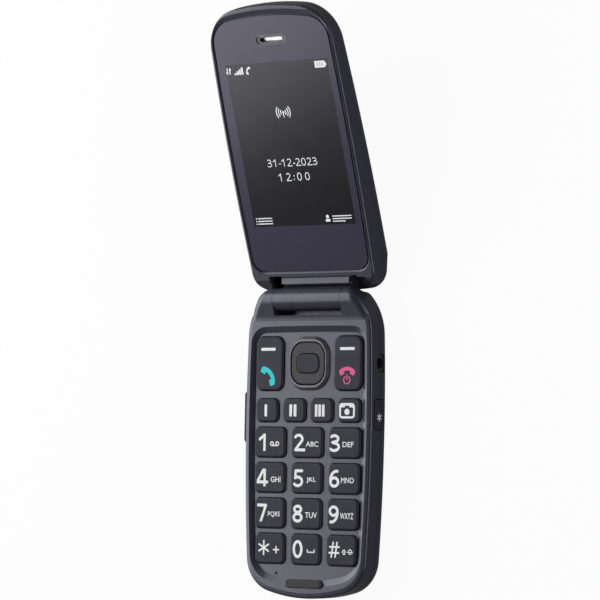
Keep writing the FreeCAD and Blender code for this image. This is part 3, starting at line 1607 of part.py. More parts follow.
def build_lid_frame(form):
    frame = form.common(above_seam(size("lid_seam_gap")))
    seat = size("window_seat")
    window = window_outline.prism(-size("window_gap"), seat, FAR)
    rim_slope = Part.makeLoft(
        [
            window_outline.wire(-size("window_gap"), size("lid_face")),
            rim_outline.wire(0, size("lid_rim")),
            rim_outline.wire(0, FAR),
        ],
        True,
        True,
    )
    display_gap = size("display_gap")
    display_low = size("display_low") - display_gap
    display_high = size("display_high") + display_gap
    display = rounded_prism(
        0,
        (display_low + display_high) / 2,
        size("display_width") + 2 * display_gap,
        display_high - display_low,
        size("display_corner") + display_gap,
        -FAR,
        FAR,
    )
    half = size("notch_half")
    notch = box(-half, half, -FAR, size("notch_length"), size("notch_floor"), FAR)
    shelf_floor = size("shelf_floor")
    slope_end = size("shelf_slope_end")
    shelf = strip(
        [
            (-FAR, shelf_floor),
            (size("shelf_length"), shelf_floor),
            (slope_end, size("lid_rim")),
            (slope_end, FAR),
            (-FAR, FAR),
        ],
        -FAR,
        FAR,
    )
    neck_side = size("barrel_half + barrel_side_gap")
    pockets = []
    for near, far in ((-size("pocket_left"), -neck_side), (neck_side, size("pocket_right"))):
        length = size("pocket_length") + FAR
        middle = size("pocket_length") - length / 2
        corner = size("pocket_corner")
        floor = size("pocket_floor")
        pockets.append(rounded_prism((near + far) / 2, middle, far - near, length, corner, floor, FAR))
    ear_room = (size("ear_slot_width"), size("ear_room_depth"), size("ear_room_corner"))
    ear = rounded_prism(0, size("ear_y"), *ear_room, -FAR, FAR)
    hollows = [window, rim_slope, display, notch, shelf, *pockets, ear]
    hollows.append(lid_cavity(-FAR, size("lid_front_inner")))
    head_low = size("window_seat - contact_gap - lid_screw_head - contact_gap")
    for x, y in lid_screw_places():
        hollows.append(disc(x, y, size("screw_head_radius + screw_gap"), head_low, FAR))
        hollows.append(disc(x, y, size("screw_radius + screw_gap"), -FAR, FAR))
    frame = frame.cut(hollows)
    barrel_half = size("barrel_half")
    barrel = rod(0, 0, size("knuckle_radius"), -barrel_half, barrel_half)
    groove = size("groove_floor")
    bar_low = size("bar_low")
    bar_high = size("bar_high")
    back = size("neck_back")
    heel = size("lid_low_end")
    join = size("notch_length") + 0.5
    radius = size("knuckle_radius")
    neck = strip(
        [
            (0.08 * radius, -0.75 * radius),
            (size("groove_side_high"), size("groove_side_face")),
            (size("groove_low"), groove),
            (bar_low, groove),
            (bar_low, size("bar_face")),
            (bar_high, size("bar_face - (bar_high - bar_low) * tan((180 - open_angle) * 1 deg)")),
            (bar_high, size("notch_floor") + 0.2),
            (join, size("notch_floor") + 0.2),
            (join, back),
            (heel, back),
            (heel, size("notch_floor") - 0.6),
        ],
        -barrel_half,
        barrel_half,
    )
    bore = rod(0, 0, size("hinge_bore_radius"), -2 * barrel_half, 2 * barrel_half)
    passage = strip(
        [
            (0.9, -2.0),
            (2.1, -1.8),
            (3.6, size(LID_CABLE_Z) + 0.3),
            (size("lid_heel_length") + 0.5, size(LID_CABLE_Z) + 0.3),
            (size("lid_heel_length") + 0.5, size(LID_CABLE_Z) - 0.5),
            (2.9, size(LID_CABLE_Z) - 0.5),
        ],
        size("flex_x - flex_passage_width / 2"),
        size("flex_x + flex_passage_width / 2"),
    )
    frame = frame.fuse([barrel, neck]).cut([bore, passage]).removeSplitter()
    shaped("lid_front_frame", frame, on_lid=True)


def build_lid_shell(form):
    room = above_back(size("lid_back_wall"))
    shell = form.cut(above_seam(-size("lid_seam_gap")))
    shell = shell.cut(lid_cavity(-FAR, FAR).common(room))
    boss_top = size("lid_front_inner - contact_gap")
    bosses = []
    pilots = []
    for x, y in lid_screw_places():
        bosses.append(disc(x, y, size("lid_boss_radius"), -FAR, boss_top).common(form))
        pilots.append(disc(x, y, size("screw_radius + contact_gap"), -FAR, FAR).common(room))
    camera_y = size("camera_y")
    rim = back_height(camera_y) + size("camera_rim_depth")
    camera = disc(0, camera_y, size("camera_hole_radius"), -FAR, FAR)
    glass_seat = disc(0, camera_y, size("camera_window_radius + contact_gap"), -FAR, rim)
    led = disc(size("led_x"), camera_y, size("led_radius + screw_gap"), -FAR, FAR)
    shell = shell.fuse(bosses).cut([*pilots, camera, glass_seat, led]).removeSplitter()
    shaped("lid_rear_shell", shell, on_lid=True)


def build_window():
    face = size("window_face")
    window = window_outline.prism(0, size("window_back"), face)
    window = window.makeFillet(size("window_edge_round"), level_edges(window, face))
    ear = rounded_prism(
        0, size("ear_y"), size("ear_width"), size("ear_depth"), size("ear_depth") / 2 - 0.01, -FAR, FAR
    )
    shaped("display_window", window.cut(ear), on_lid=True)


def build_lid_screws():
    height = size("lid_screw_head")
    low = size("window_seat - contact_gap") - height
    end = low - size("lid_screw_length")
    screws = [screw(x, y, low, height, end, False) for x, y in lid_screw_places()]
    shaped("lid_screws", Part.makeCompound(screws), on_lid=True)


def build_lid_inside():
    body = new_body("display_module", on_lid=True)
    middle = "(display_low + display_high) / 2"
    low = "display_face - display_thickness"
    length = "display_high - display_low"
    add_block(body, 0, middle, low, "display_face", "display_width", length, "display_corner")

    body = new_body("earpiece_grille", on_lid=True)
    low = "window_seat + contact_gap"
    high = "window_face - ear_gap"
    width = "ear_width - 2 * ear_gap"
    depth = "ear_depth - 2 * ear_gap"
    add_block(body, 0, "ear_y", low, high, width, depth, f"({depth}) / 2 - 0.01")
    dish_width = f"{width} - 2 * ear_lip"
    dish_depth = f"{depth} - 2 * ear_lip"
    corner = f"({dish_depth}) / 2 - 0.01"
    cut_block(body, 0, "ear_y", f"{high} - ear_dish", high, dish_width, dish_depth, corner)
    slot_corner = "ear_slot_depth / 2 - 0.01"
    cut_block(body, 0, "ear_y", low, high, "ear_slot_width", "ear_slot_depth", slot_corner)

    body = new_body("earpiece_receiver", on_lid=True)
    high = "lid_front_inner - contact_gap"
    low = f"{high} - receiver_height"
    add_block(body, 0, "ear_y", low, high, "receiver_width", "receiver_depth", "receiver_corner")

    body = new_body("lid_board", on_lid=True)
    middle = "(lid_board_low + lid_board_high) / 2"
    high = "lid_board_z + lid_board_thickness"
    length = "lid_board_high - lid_board_low"
    add_block(body, 0, middle, "lid_board_z", high, "2 * lid_board_half_width", length, "lid_board_corner")
    places = [("lid_screw_high_x", "lid_screw_high_y"), ("-lid_screw_high_x", "lid_screw_high_y")]
    cut_discs(body, places, "lid_board_z", high, "lid_boss_radius + board_gap")
    add_block(body, 0, "chip_y", "lid_board_z - chip_height", "lid_board_z", "chip_side", "chip_side")
    room = "camera_side + 2 * board_gap"
    cut_block(body, 0, "camera_y", "lid_board_z", high, room, room)

    body = new_body("camera_module", on_lid=True)
    high = "display_face - display_thickness - 2 * contact_gap"
    low = f"{CAMERA_BACK} + lid_back_wall + camera_lift"
    add_block(body, 0, "camera_y", low, high, "camera_side", "camera_side")
    end = f"{CAMERA_BACK} + camera_rim_depth + contact_gap"
    add_discs(body, [("0", "camera_y")], end, low, "camera_barrel_radius")
    cut_discs(body, [("0", "camera_y")], end, f"{end} + 0.4", "camera_barrel_radius / 2")

    body = new_body("camera_window", on_lid=True)
    high = f"{CAMERA_BACK} + camera_rim_depth - contact_gap"
    low = f"{high} - camera_window_thickness"
    add_discs(body, [("0", "camera_y")], low, high, "camera_window_radius")

    body = new_body("torch_led", on_lid=True)
    high = "lid_board_z - contact_gap"
    low = f"{CAMERA_BACK} + lid_back_wall + camera_lift"
    add_block(body, "led_x", "camera_y", low, high, "led_side", "led_side")
    add_discs(body, [("led_x", "camera_y")], f"{CAMERA_BACK} + 0.2", low, "led_radius")


# Hinge cartridge and the cable through it

def build_hinge():
    axis = ("hinge_y", "hinge_z")
    shaft_hole = "shaft_radius + hinge_fit"
    outer = "hinge_bore_radius - hinge_fit"
    inner = "hinge_bore_radius - hinge_fit - sleeve_wall"

    body = new_body("hinge_cam", plane="YZ_Plane")
    shoulder = "-(barrel_half + barrel_side_gap + 0.15)"
    add_discs(body, [axis], "0.2 - hinge_bore_end", shoulder, outer)
    add_discs(body, [axis], shoulder, "cam_journal_end", f"{inner} - hinge_fit")
    cut_discs(body, [axis], "0.2 - hinge_bore_end", "cam_journal_end", shaft_hole)

    body = new_body("hinge_shaft", plane="YZ_Plane")
    add_discs(body, [axis], "0.4 - hinge_bore_end", "sleeve_right + 0.1", "shaft_radius")
    add_discs(body, [axis], "sleeve_right + 0.1", "sleeve_right + 0.5", "1.6 * shaft_radius")

    body = new_body("hinge_bush", plane="YZ_Plane")
    add_discs(body, [axis], "bush_inner_end", "hinge_bore_end - 0.2", outer)
    cut_discs(body, [axis], "bush_inner_end", "hinge_bore_end - 0.2", "bush_bore_radius")
    side = "flex_exit_x - flex_passage_width / 2"
    slot_z = "(flex_channel_low + flex_channel_high) / 2"
    slot_height = "flex_channel_high - flex_channel_low"
    cut_block(body, "hinge_y - 3", slot_z, side, "hinge_bore_end", 4, slot_height, "0.05")

    centre = [("0", "0")]
    body = new_body("hinge_sleeve", on_lid=True, plane="YZ_Plane")
    add_discs(body, centre, "sleeve_left", "sleeve_right", outer)
    cut_discs(body, centre, "sleeve_left", "sleeve_right - sleeve_end", inner)
    cut_discs(body, centre, "sleeve_right - 2 * sleeve_end", "sleeve_right", shaft_hole)

    body = new_body("hinge_follower", on_lid=True, plane="YZ_Plane")
    low = "cam_journal_end + 0.1"
    high = f"{low} + follower_length"
    add_discs(body, centre, low, high, f"{inner} - hinge_fit")
    cut_discs(body, centre, low, high, shaft_hole)


def build_spring():
    wire = size("spring_wire")
    start = size("cam_journal_end + 0.1 + follower_length + contact_gap") + wire
    end = size("sleeve_right - sleeve_end - contact_gap") - wire
    length = end - start
    helix = Part.makeHelix(length / size("spring_turns"), length, size("spring_radius"))
    circle = Part.makeCircle(wire, Vector(size("spring_radius"), 0, 0), Vector(0, 1, 0))
    coil = Part.Wire(helix.Edges).makePipeShell([Part.Wire(circle)], True, True)
    along_hinge = Placement(Vector(start, 0, 0), Rotation(Vector(0, 1, 0), 90))
    shaped("hinge_spring", coil.transformed(along_hinge.toMatrix(), True), on_lid=True)


def ribbon(points, thickness, x_low, x_high):
    """Flat cable: a line of (y, z) points made thick on its left side and carried along X."""
    normals = []
    for (y_from, z_from), (y_to, z_to) in zip(points, points[1:]):
        length = math.hypot(y_to - y_from, z_to - z_from)
        normals.append(((z_from - z_to) / length, (y_to - y_from) / length))
    moved = []
    for number, (y, z) in enumerate(points):
        before = normals[max(number - 1, 0)]
        after = normals[min(number, len(normals) - 1)]
        scale = thickness / (1 + before[0] * after[0] + before[1] * after[1])
        moved.append((y + (before[0] + after[0]) * scale, z + (before[1] + after[1]) * scale))
    return strip([*points, *reversed(moved)], x_low, x_high)


def build_flex():
    thickness = size("flex_thickness")
    half = size("flex_width") / 2
    axis_y = size("hinge_y")
    axis_z = size("hinge_z")
    x = size("flex_exit_x")
    entry = axis_y - half
    low = size("(flex_channel_low + flex_channel_high) / 2")
    board_top = size("board_z + board_thickness + contact_gap")
    drop = size("hinge_y - board_setback") - 1.2
    lead = box(
        size("bush_inner_end"), x + half, entry, axis_y + half, axis_z - thickness / 2, axis_z + thickness / 2
    )
    tail = ribbon(
        [
            (entry + thickness, axis_z),
            (entry + thickness, low),
            (drop, low),
            (drop, board_top),
            (drop - 2, board_top),
        ],
        -thickness,
        x - half,
        x + half,
    )
    shaped("base_flex", lead.fuse(tail).removeSplitter())

    radius = size("flex_roll_radius")
    left = size("flex_roll_left")
    right = size("flex_roll_right")
    tube = rod(0, 0, radius, left, right).cut(rod(0, 0, radius - thickness, left - 1, right + 1))
    gap = strip([(0, 0), (2 * radius, 0.2 * radius), (2 * radius, 1.2 * radius)], left - 1, right + 1)
    x = size("flex_x")
    tail = ribbon(
        [
            (0.75 * radius, -0.55 * radius),
            (1.5, -2.4),
            (3.1, size(LID_CABLE_Z)),
            (size("lid_board_low") + 3, size(LID_CABLE_Z)),
        ],
        thickness,
        x - half,
        x + half,
    )
    shaped("lid_flex", tube.cut(gap).fuse(tail).removeSplitter(), on_lid=True)


build_front_case()
build_rear_case()
build_battery_cover()
build_base_screws()
build_base_inside()
build_sockets()
for cell in straight_keys:
    build_straight_key(cell, "key_top_z", "key_edge_round")
for cell in rocker_keys:
    build_rocker_key(cell)
build_navigation()
build_side_key("torch_key", 1, "torch_y", TORCH_Z, "torch_length", TORCH_HEIGHT)
build_volume_rocker()
build_bumper()
whole_lid = lid_form()
build_lid_frame(whole_lid)
build_lid_shell(whole_lid)
build_window()
build_lid_screws()
build_lid_inside()
build_hinge()
build_spring()
build_flex()

doc.recompute()
os.makedirs("parts", exist_ok=True)
for item in sub_parts:
    if "Invalid" in item.State or "Error" in item.State:
        raise RuntimeError(f"{item.Label} did not recompute: {item.State}")
    if item.Shape.isNull() or not item.Shape.isValid() or not item.Shape.Solids:
        raise RuntimeError(f"{item.Label} has no valid solid")
    item.Shape.exportStep(f"parts/{item.Label}.step")
print(f"{len(sub_parts)} sub-parts written")
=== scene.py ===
"""Looks of the flip phone: its finishes, printed marks, display picture, camera and studio."""

import json
import logging
import math
from collections.abc import Callable
from dataclasses import dataclass, field
from enum import Enum

import bmesh
import bpy
import numpy as np
from mathutils import Matrix, Vector

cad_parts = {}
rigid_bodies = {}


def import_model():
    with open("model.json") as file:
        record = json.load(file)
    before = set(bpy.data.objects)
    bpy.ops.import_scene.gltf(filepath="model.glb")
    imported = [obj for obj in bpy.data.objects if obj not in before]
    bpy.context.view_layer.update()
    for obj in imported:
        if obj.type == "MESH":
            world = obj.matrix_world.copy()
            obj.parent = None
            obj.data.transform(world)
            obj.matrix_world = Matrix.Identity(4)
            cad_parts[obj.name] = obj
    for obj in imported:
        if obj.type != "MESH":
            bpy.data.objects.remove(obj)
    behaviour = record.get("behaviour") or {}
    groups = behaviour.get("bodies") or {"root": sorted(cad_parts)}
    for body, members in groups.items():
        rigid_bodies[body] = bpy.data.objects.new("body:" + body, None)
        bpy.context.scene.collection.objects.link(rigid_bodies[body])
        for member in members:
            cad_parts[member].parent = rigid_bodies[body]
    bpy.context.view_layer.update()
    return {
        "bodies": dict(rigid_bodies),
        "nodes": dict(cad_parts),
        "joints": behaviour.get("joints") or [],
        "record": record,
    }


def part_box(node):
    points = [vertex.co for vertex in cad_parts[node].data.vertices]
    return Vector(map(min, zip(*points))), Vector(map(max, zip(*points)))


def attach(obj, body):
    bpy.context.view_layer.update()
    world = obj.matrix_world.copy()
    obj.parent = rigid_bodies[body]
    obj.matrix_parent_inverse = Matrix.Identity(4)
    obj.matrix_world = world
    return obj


log = logging.getLogger("flip_phone")

MM = 0.001
# Width of a numeral as a share of its height, and how far the ones that differ reach
NUMERAL_WIDTH = 0.69
NUMERAL_REACH = {"1": 0.485, "4": 0.78}

Material = bpy.types.Material
Socket = bpy.types.NodeSocket
Field = Callable[[np.ndarray, np.ndarray], np.ndarray]
Rgb = tuple[int, int, int]
Xyz = tuple[float, float, float]
# Left, right, lower and upper side
Box = tuple[float, float, float, float]


class Slot(Enum):
    """Material slots of the record that the pieces take their finish from."""

    CASE = "case_plastic"
    KEY = "key_plastic"
    TRIM = "nav_trim"
    NAVIGATION = "nav_plastic"
    BUMPER = "bumper_rubber"
    WINDOW = "window_plastic"
    DISPLAY = "display_panel"
    INNER = "inner_plastic"
    LENS = "lens_plastic"
    TORCH = "torch_lens"
    BOARD = "board_green"
    FOIL = "foil"
    SILICONE = "silicone"
    METAL = "metal"
    GOLD = "gold"
    BATTERY = "battery_case"
    FLEX = "flex"


class InkColour(Enum):
    """Colours that the marks are printed in, as sRGB numbers."""

    WHITE = (251, 251, 253)
    CYAN = (20, 214, 218)
    PINK = (238, 92, 150)
    PIXEL = (236, 238, 240)


# Colours and node trees


def linear(colour: Rgb) -> tuple[float, float, float, float]:
    """Turns an sRGB colour into scene-linear numbers.

    Args:
        colour: Red, green and blue from 0 to 255.

    Returns:
        Linear red, green, blue and an alpha of one.
    """
    share = np.array(colour) / 255
    low = share / 12.92
    high = ((share + 0.055) / 1.055) ** 2.4
    red, green, blue = np.where(share <= 0.04045, low, high)
    return float(red), float(green), float(blue), 1.0


class Wiring:
    """A node tree, with short calls for the nodes that the finishes and the surround share."""

    def __init__(self, tree: bpy.types.NodeTree) -> None:
        """Takes a tree over and empties it."""
        self.tree = tree
        self.tree.nodes.clear()

    def join(self, source: object, target: Socket) -> None:
        """Feeds an input.

        Args:
            source: Output to link, or a constant.
            target: The input.
        """
        if isinstance(source, Socket):
            self.tree.links.new(source, target)
        else:
            target.default_value = source

    def add(self, kind: str, inputs: dict | None = None, **settings: object) -> bpy.types.Node:
        """Adds a node.

        Args:
            kind: Blender's name of the node's type.
            inputs: Outputs or constants for its inputs, by their names or numbers.
            settings: Attributes of the node, set before its inputs.

        Returns:
            The new node.
        """
        node = self.tree.nodes.new(kind)
        for key, value in settings.items():
            setattr(node, key, value)
        for key, value in (inputs or {}).items():
            self.join(value, node.inputs[key])
        return node

    def place(self) -> Socket:
        """Object coordinates in metres."""
        return self.add("ShaderNodeTexCoord").outputs["Object"]

    def math(self, operation: str, *values: object) -> Socket:
        """The result of a math node on numbers or outputs; the operation has Blender's name."""
        return self.add("ShaderNodeMath", dict(enumerate(values)), operation=operation).outputs[0]

    def noise(self, size: float, detail: float = 2.0, stretch: Xyz = (1, 1, 1)) -> Socket:
        """Cloudy pattern on Object coordinates.

        Args:
            size: Size of its spots in millimetres.
            detail: Octaves of finer spots.
            stretch: Scale of the coordinates along x, y and z.

        Returns:
            A number about 0.5, from 0 to 1.
        """
        mapping = self.add("ShaderNodeMapping", {"Vector": self.place(), "Scale": stretch})
        inputs = {"Vector": mapping.outputs["Vector"], "Scale": 1 / (size * MM), "Detail": detail}
        return self.add("ShaderNodeTexNoise", inputs).outputs["Fac"]

    def spread(
        self, value: Socket, start: float, end: float, low: float, high: float, soft: bool = False
    ) -> Socket:
        """Carries a number from one range to another, clamped.

        Args:
            value: The number.
            start: Value that gives low.
            end: Value that gives high.
            low: Result at start.
            high: Result at end.
            soft: Eases in and out.

        Returns:
            The new number.
        """
        inputs = {"Value": value, "From Min": start, "From Max": end, "To Min": low, "To Max": high}
        ramp = "SMOOTHSTEP" if soft else "LINEAR"
        return self.add("ShaderNodeMapRange", inputs, interpolation_type=ramp).outputs["Result"]

    def blend(self, share: Socket, first: object, second: object) -> Socket:
        """Mixes two colours or outputs, from all first at a share of 0 to all second at 1."""
        # Inputs 6 and 7 and output 2 are the sockets that the node has for colours
        node = self.add("ShaderNodeMix", {0: share, 6: first, 7: second}, data_type="RGBA")
        return node.outputs[2]

    def mottled(self, colour: Rgb, size: float, share: float) -> Socket:
        """A colour that goes darker and lighter by a share, in clouds of a size in millimetres."""
        shades = [(*(part * light for part in linear(colour)[:3]), 1.0) for light in (1 - share, 1 + share)]
        return self.blend(self.noise(size, 3.0), *shades)


class Shader(Wiring):
    """Node tree of one material, built round a principled shader."""

    def __init__(self, name: str) -> None:
        """Starts the material.

        Args:
            name: Name of the material.
        """
        self.material = bpy.data.materials.new(name)
        self.material.use_nodes = True
        super().__init__(self.material.node_tree)
        self.output = self.add("ShaderNodeOutputMaterial")
        self.shader = self.add("ShaderNodeBsdfPrincipled")
        self.join(self.shader.outputs[0], self.output.inputs["Surface"])

    def set(self, **values: object) -> None:
        """Feeds the shader's own inputs, with spaces written as underscores."""
        for key, value in values.items():
            self.join(value, self.shader.inputs[key.replace("_", " ")])

    def polish(self, share: Socket, low: float, high: float, start: float = 0.3, end: float = 0.7) -> None:
        """Takes the roughness from low to high as the share goes from start to end."""
        self.set(Roughness=self.spread(share, start, end, low, high))

    def relief(self, height: Socket, depth: float) -> None:
        """Bumps the normal by a height pattern from 0 to 1, with its depth in millimetres."""
        bump = self.add("ShaderNodeBump", {"Distance": depth * MM, "Height": height})
        self.set(Normal=bump.outputs["Normal"])


@dataclass(frozen=True)
class LidFrame:
    """The lid's own coordinates in millimetres: they start on the hinge's axis and lean with the lid."""

    hinge_y: float = 48.8
    hinge_z: float = 8.9
    lean: float = 18.8

    def carry(self, points: np.ndarray) -> np.ndarray:
        """Carries the lid's coordinates to the part's frame: a turn about the hinge, then a move.

        Args:
            points: Across, along and height in the lid's frame, millimetres.

        Returns:
            Points in the part's frame.
        """
        cosine, sine = math.cos(math.radians(self.lean)), math.sin(math.radians(self.lean))
        x, along, height = points.T
        y = self.hinge_y + along * cosine - height * sine
        z = self.hinge_z + along * sine + height * cosine
        return np.column_stack([x, y, z])


# Finishes, with sizes of their patterns in millimetres


@dataclass(frozen=True)
class Plastic:
    """Moulded, painted, clear or printed plastic: fine grain and faint clouds of lightness.

    Its polish varies by spread to both sides. It lets light in where clearness isn't zero and
    glows where glow isn't.
    """

    name: str
    colour: Rgb
    roughness: float = 0.45
    spread: float = 0.05
    polish_clouds: float = 3.0
    grain: float = 0.16
    grain_detail: float = 1.0
    grain_depth: float = 0.0015
    clouds: float = 9.0
    mottling: float = 0.04
    specular: float = 0.5
    metallic: float = 0.0
    tint: Xyz = (1.0, 1.0, 1.0)
    clearness: float = 0.0
    refraction: float = 1.49
    glow: float = 0.0

    def build(self) -> Material:
        """Makes the material."""
        wiring = Shader(self.name)
        colour = wiring.mottled(self.colour, self.clouds, self.mottling)
        wiring.set(Base_Color=colour, Roughness=self.roughness, Metallic=self.metallic)
        if self.spread:
            pattern = wiring.noise(self.polish_clouds)
            wiring.polish(pattern, self.roughness - self.spread, self.roughness + self.spread)
        wiring.set(Specular_IOR_Level=self.specular, Specular_Tint=(*self.tint, 1.0))
        wiring.relief(wiring.noise(self.grain, self.grain_detail), self.grain_depth)
        if self.clearness:
            wiring.set(Transmission_Weight=self.clearness, IOR=self.refraction)
        if self.glow:
            wiring.set(Emission_Color=linear(self.colour), Emission_Strength=self.glow)
        return wiring.material


@dataclass(frozen=True)
class DisplayWindow:
    """Glossy panel, printed grey behind all of it except the display's opening.

    The lid's own coordinates come from a mapping that undoes its lean. The opening is where
    both the distance across from its middle and the distance along are under its half sizes.
    """

    name: str = "display_window_gloss"
    print_colour: Rgb = (60, 57, 75)
    screen_colour: Rgb = (20, 20, 22)
    edge_colour: Rgb = (8, 8, 10)
    lid: LidFrame = LidFrame()
    screen_left: float = -20.9
    screen_right: float = 21.95
    screen_low: float = 25.3
    screen_high: float = 82.3
    blur: float = 0.06
    edge_width: float = 1.7
    clouds: float = 12.0
    mottling: float = 0.03
    smears: float = 6.0
    smear_detail: float = 4.0
    smooth: float = 0.18
    smeared: float = 0.21
    specular: float = 0.36
    tint: Xyz = (0.88, 0.86, 1.0)
    grain: float = 0.3
    grain_depth: float = 0.0005

    def within(self, wiring: Wiring, place: Socket, low: float, high: float) -> Socket:
        """One where a coordinate lies between two values, with a soft edge.

        Args:
            wiring: Tree to add the nodes to.
            place: The coordinate, in metres.
            low: Lower value in millimetres.
            high: Upper value in millimetres.

        Returns:
            A number from 0 to 1.
        """
        distance = wiring.math("ABSOLUTE", wiring.math("SUBTRACT", place, (low + high) / 2 * MM))
        half = (high - low) / 2
        return wiring.spread(distance, (half - self.blur) * MM, (half + self.blur) * MM, 1.0, 0.0)

    def build(self) -> Material:
        """Makes the material."""
        wiring = Shader(self.name)
        inputs = {
            "Location": (0, self.lid.hinge_y * MM, self.lid.hinge_z * MM),
            "Rotation": (math.radians(self.lid.lean), 0, 0),
            "Vector": wiring.place(),
        }
        mapping = wiring.add("ShaderNodeMapping", inputs, vector_type="TEXTURE")
        parts = wiring.add("ShaderNodeSeparateXYZ", {"Vector": mapping.outputs["Vector"]})
        across, along = parts.outputs["X"], parts.outputs["Y"]
        columns = self.within(wiring, across, self.screen_left, self.screen_right)
        rows = self.within(wiring, along, self.screen_low, self.screen_high)
        opening = wiring.math("MULTIPLY", columns, rows)
        edge_end = (self.screen_left + self.edge_width) * MM
        edge = wiring.spread(across, self.screen_left * MM, edge_end, 1.0, 0.0, soft=True)
        screen = wiring.blend(edge, linear(self.screen_colour), linear(self.edge_colour))
        printed = wiring.mottled(self.print_colour, self.clouds, self.mottling)
        wiring.set(Base_Color=wiring.blend(opening, printed, screen))
        wiring.polish(wiring.noise(self.smears, self.smear_detail), self.smooth, self.smeared, start=0.35)
        wiring.set(Specular_IOR_Level=self.specular, Specular_Tint=(*self.tint, 1.0))
        wiring.relief(wiring.noise(self.grain, 1.0), self.grain_depth)
        return wiring.material


@dataclass(frozen=True)
class BrushedMetal:
    """Sheet or turned metal with fine streaks along one axis."""

    name: str
    colour: Rgb
    roughness: float = 0.3
    smoother: float = 0.08
    rougher: float = 0.1
    streak: float = 0.25
    stretch: Xyz = (0.06, 1.0, 1.0)
    depth: float = 0.004
    clouds: float = 4.0
    mottling: float = 0.05

    def build(self) -> Material:
        """Makes the material."""
        wiring = Shader(self.name)
        streaks = wiring.noise(self.streak, 3.0, self.stretch)
        wiring.set(Base_Color=wiring.mottled(self.colour, self.clouds, self.mottling), Metallic=1.0)
        wiring.polish(streaks, self.roughness - self.smoother, self.roughness + self.rougher)
        wiring.relief(streaks, self.depth)
        return wiring.material


@dataclass(frozen=True)
class SolderMask:
    """Green board: conductors show as lighter lines under the mask, with round plated holes.

    Conductors follow the lines of a brick pattern, holes are the near parts of a cell pattern.
    """

    name: str = "board_solder_mask"
    mask: Rgb = (18, 74, 44)
    lighter_mask: Rgb = (20, 82, 48)
    conductor: Rgb = (40, 112, 66)
    plating: Rgb = (196, 168, 92)
    brick: float = 2.2
    brick_offset: float = 0.37
    brick_squash: float = 0.6
    squashed_row: int = 3
    line: float = 0.06
    line_blur: float = 0.2
    line_depth: float = 0.02
    hole_pitch: float = 3.1
    hole_start: float = 0.09
    hole_end: float = 0.11
    plated: float = 0.9
    roughness: float = 0.35

    def build(self) -> Material:
        """Makes the material."""
        wiring = Shader(self.name)
        inputs = {
            "Vector": wiring.place(),
            "Scale": 1 / (self.brick * MM),
            "Mortar Size": self.line,
            "Mortar Smooth": self.line_blur,
            "Color1": linear(self.mask),
            "Color2": linear(self.lighter_mask),
            "Mortar": linear(self.conductor),
        }
        shape = {"offset": self.brick_offset, "squash": self.brick_squash}
        bricks = wiring.add("ShaderNodeTexBrick", inputs, squash_frequency=self.squashed_row, **shape)
        inputs = {"Vector": wiring.place(), "Scale": 1 / (self.hole_pitch * MM)}
        cells = wiring.add("ShaderNodeTexVoronoi", inputs)
        holes = wiring.spread(cells.outputs["Distance"], self.hole_start, self.hole_end, 1.0, 0.0)
        wiring.set(Base_Color=wiring.blend(holes, bricks.outputs["Color"], linear(self.plating)))
        wiring.set(Metallic=wiring.math("MULTIPLY", holes, self.plated), Roughness=self.roughness)
        wiring.relief(bricks.outputs["Fac"], self.line_depth)
        return wiring.material


Finish = Plastic | DisplayWindow | BrushedMetal | SolderMask

# Values that the clear pieces share, and those that the inks share
CLEAR = {
    "spread": 0.025, "polish_clouds": 2.0, "grain": 1.0, "grain_detail": 2.0, "grain_depth": 0.001,
    "clouds": 5.0, "mottling": 0.05,
}
INK = {
    "roughness": 0.5, "spread": 0.0, "grain": 0.12, "grain_depth": 0.002, "clouds": 0.8, "mottling": 0.03,
    "specular": 0.3,
}
INK_GLOW = {InkColour.PIXEL: 0.25}

FINISHES: dict[Slot, Finish] = {
    Slot.CASE: Plastic(
        "case_satin_paint", (44, 44, 54), roughness=0.34, spread=0.02, specular=0.68, tint=(0.86, 0.85, 1.0)
    ),
    Slot.KEY: Plastic(
        "key_cap_satin", (43, 43, 51), roughness=0.5, grain=0.12, specular=0.22, tint=(0.84, 0.84, 1.0)
    ),
    Slot.TRIM: Plastic("trim_ring_satin_plating", (80, 80, 86), roughness=0.3, metallic=0.3),
    Slot.NAVIGATION: Plastic("navigation_pad_satin", (50, 49, 56), roughness=0.42, specular=0.25),
    Slot.BUMPER: Plastic("bumper_rubber_matt", (52, 52, 56), roughness=0.75, grain=0.3, grain_depth=0.01),
    Slot.WINDOW: DisplayWindow(),
    Slot.DISPLAY: Plastic("display_module_glass", (34, 34, 37), roughness=0.12, grain_depth=0.001),
    Slot.INNER: Plastic("inner_plastic_black", (34, 34, 35), roughness=0.6),
    Slot.LENS: Plastic("camera_window_tint", (26, 26, 32), roughness=0.075, clearness=0.5, **CLEAR),
    Slot.TORCH: Plastic("torch_lens_milky", (226, 222, 200), roughness=0.325, clearness=0.4, **CLEAR),
    Slot.BOARD: SolderMask(),
    Slot.FOIL: Plastic("dome_foil_white", (205, 205, 198), roughness=0.4, grain=0.5, mottling=0.08),
    Slot.SILICONE: Plastic(
        "membrane_silicone", (168, 168, 164), roughness=0.65, grain=0.4, grain_depth=0.01
    ),
    Slot.METAL: BrushedMetal("steel_brushed", (190, 190, 192)),
    Slot.GOLD: BrushedMetal("contact_plating_gold", (212, 176, 96), roughness=0.25),
    Slot.BATTERY: Plastic("battery_sleeve", (52, 52, 56), roughness=0.35, clouds=20.0, grain=0.6),
    Slot.FLEX: Plastic("polyimide_film", (176, 112, 36), roughness=0.25, clouds=3.0, mottling=0.12),
}


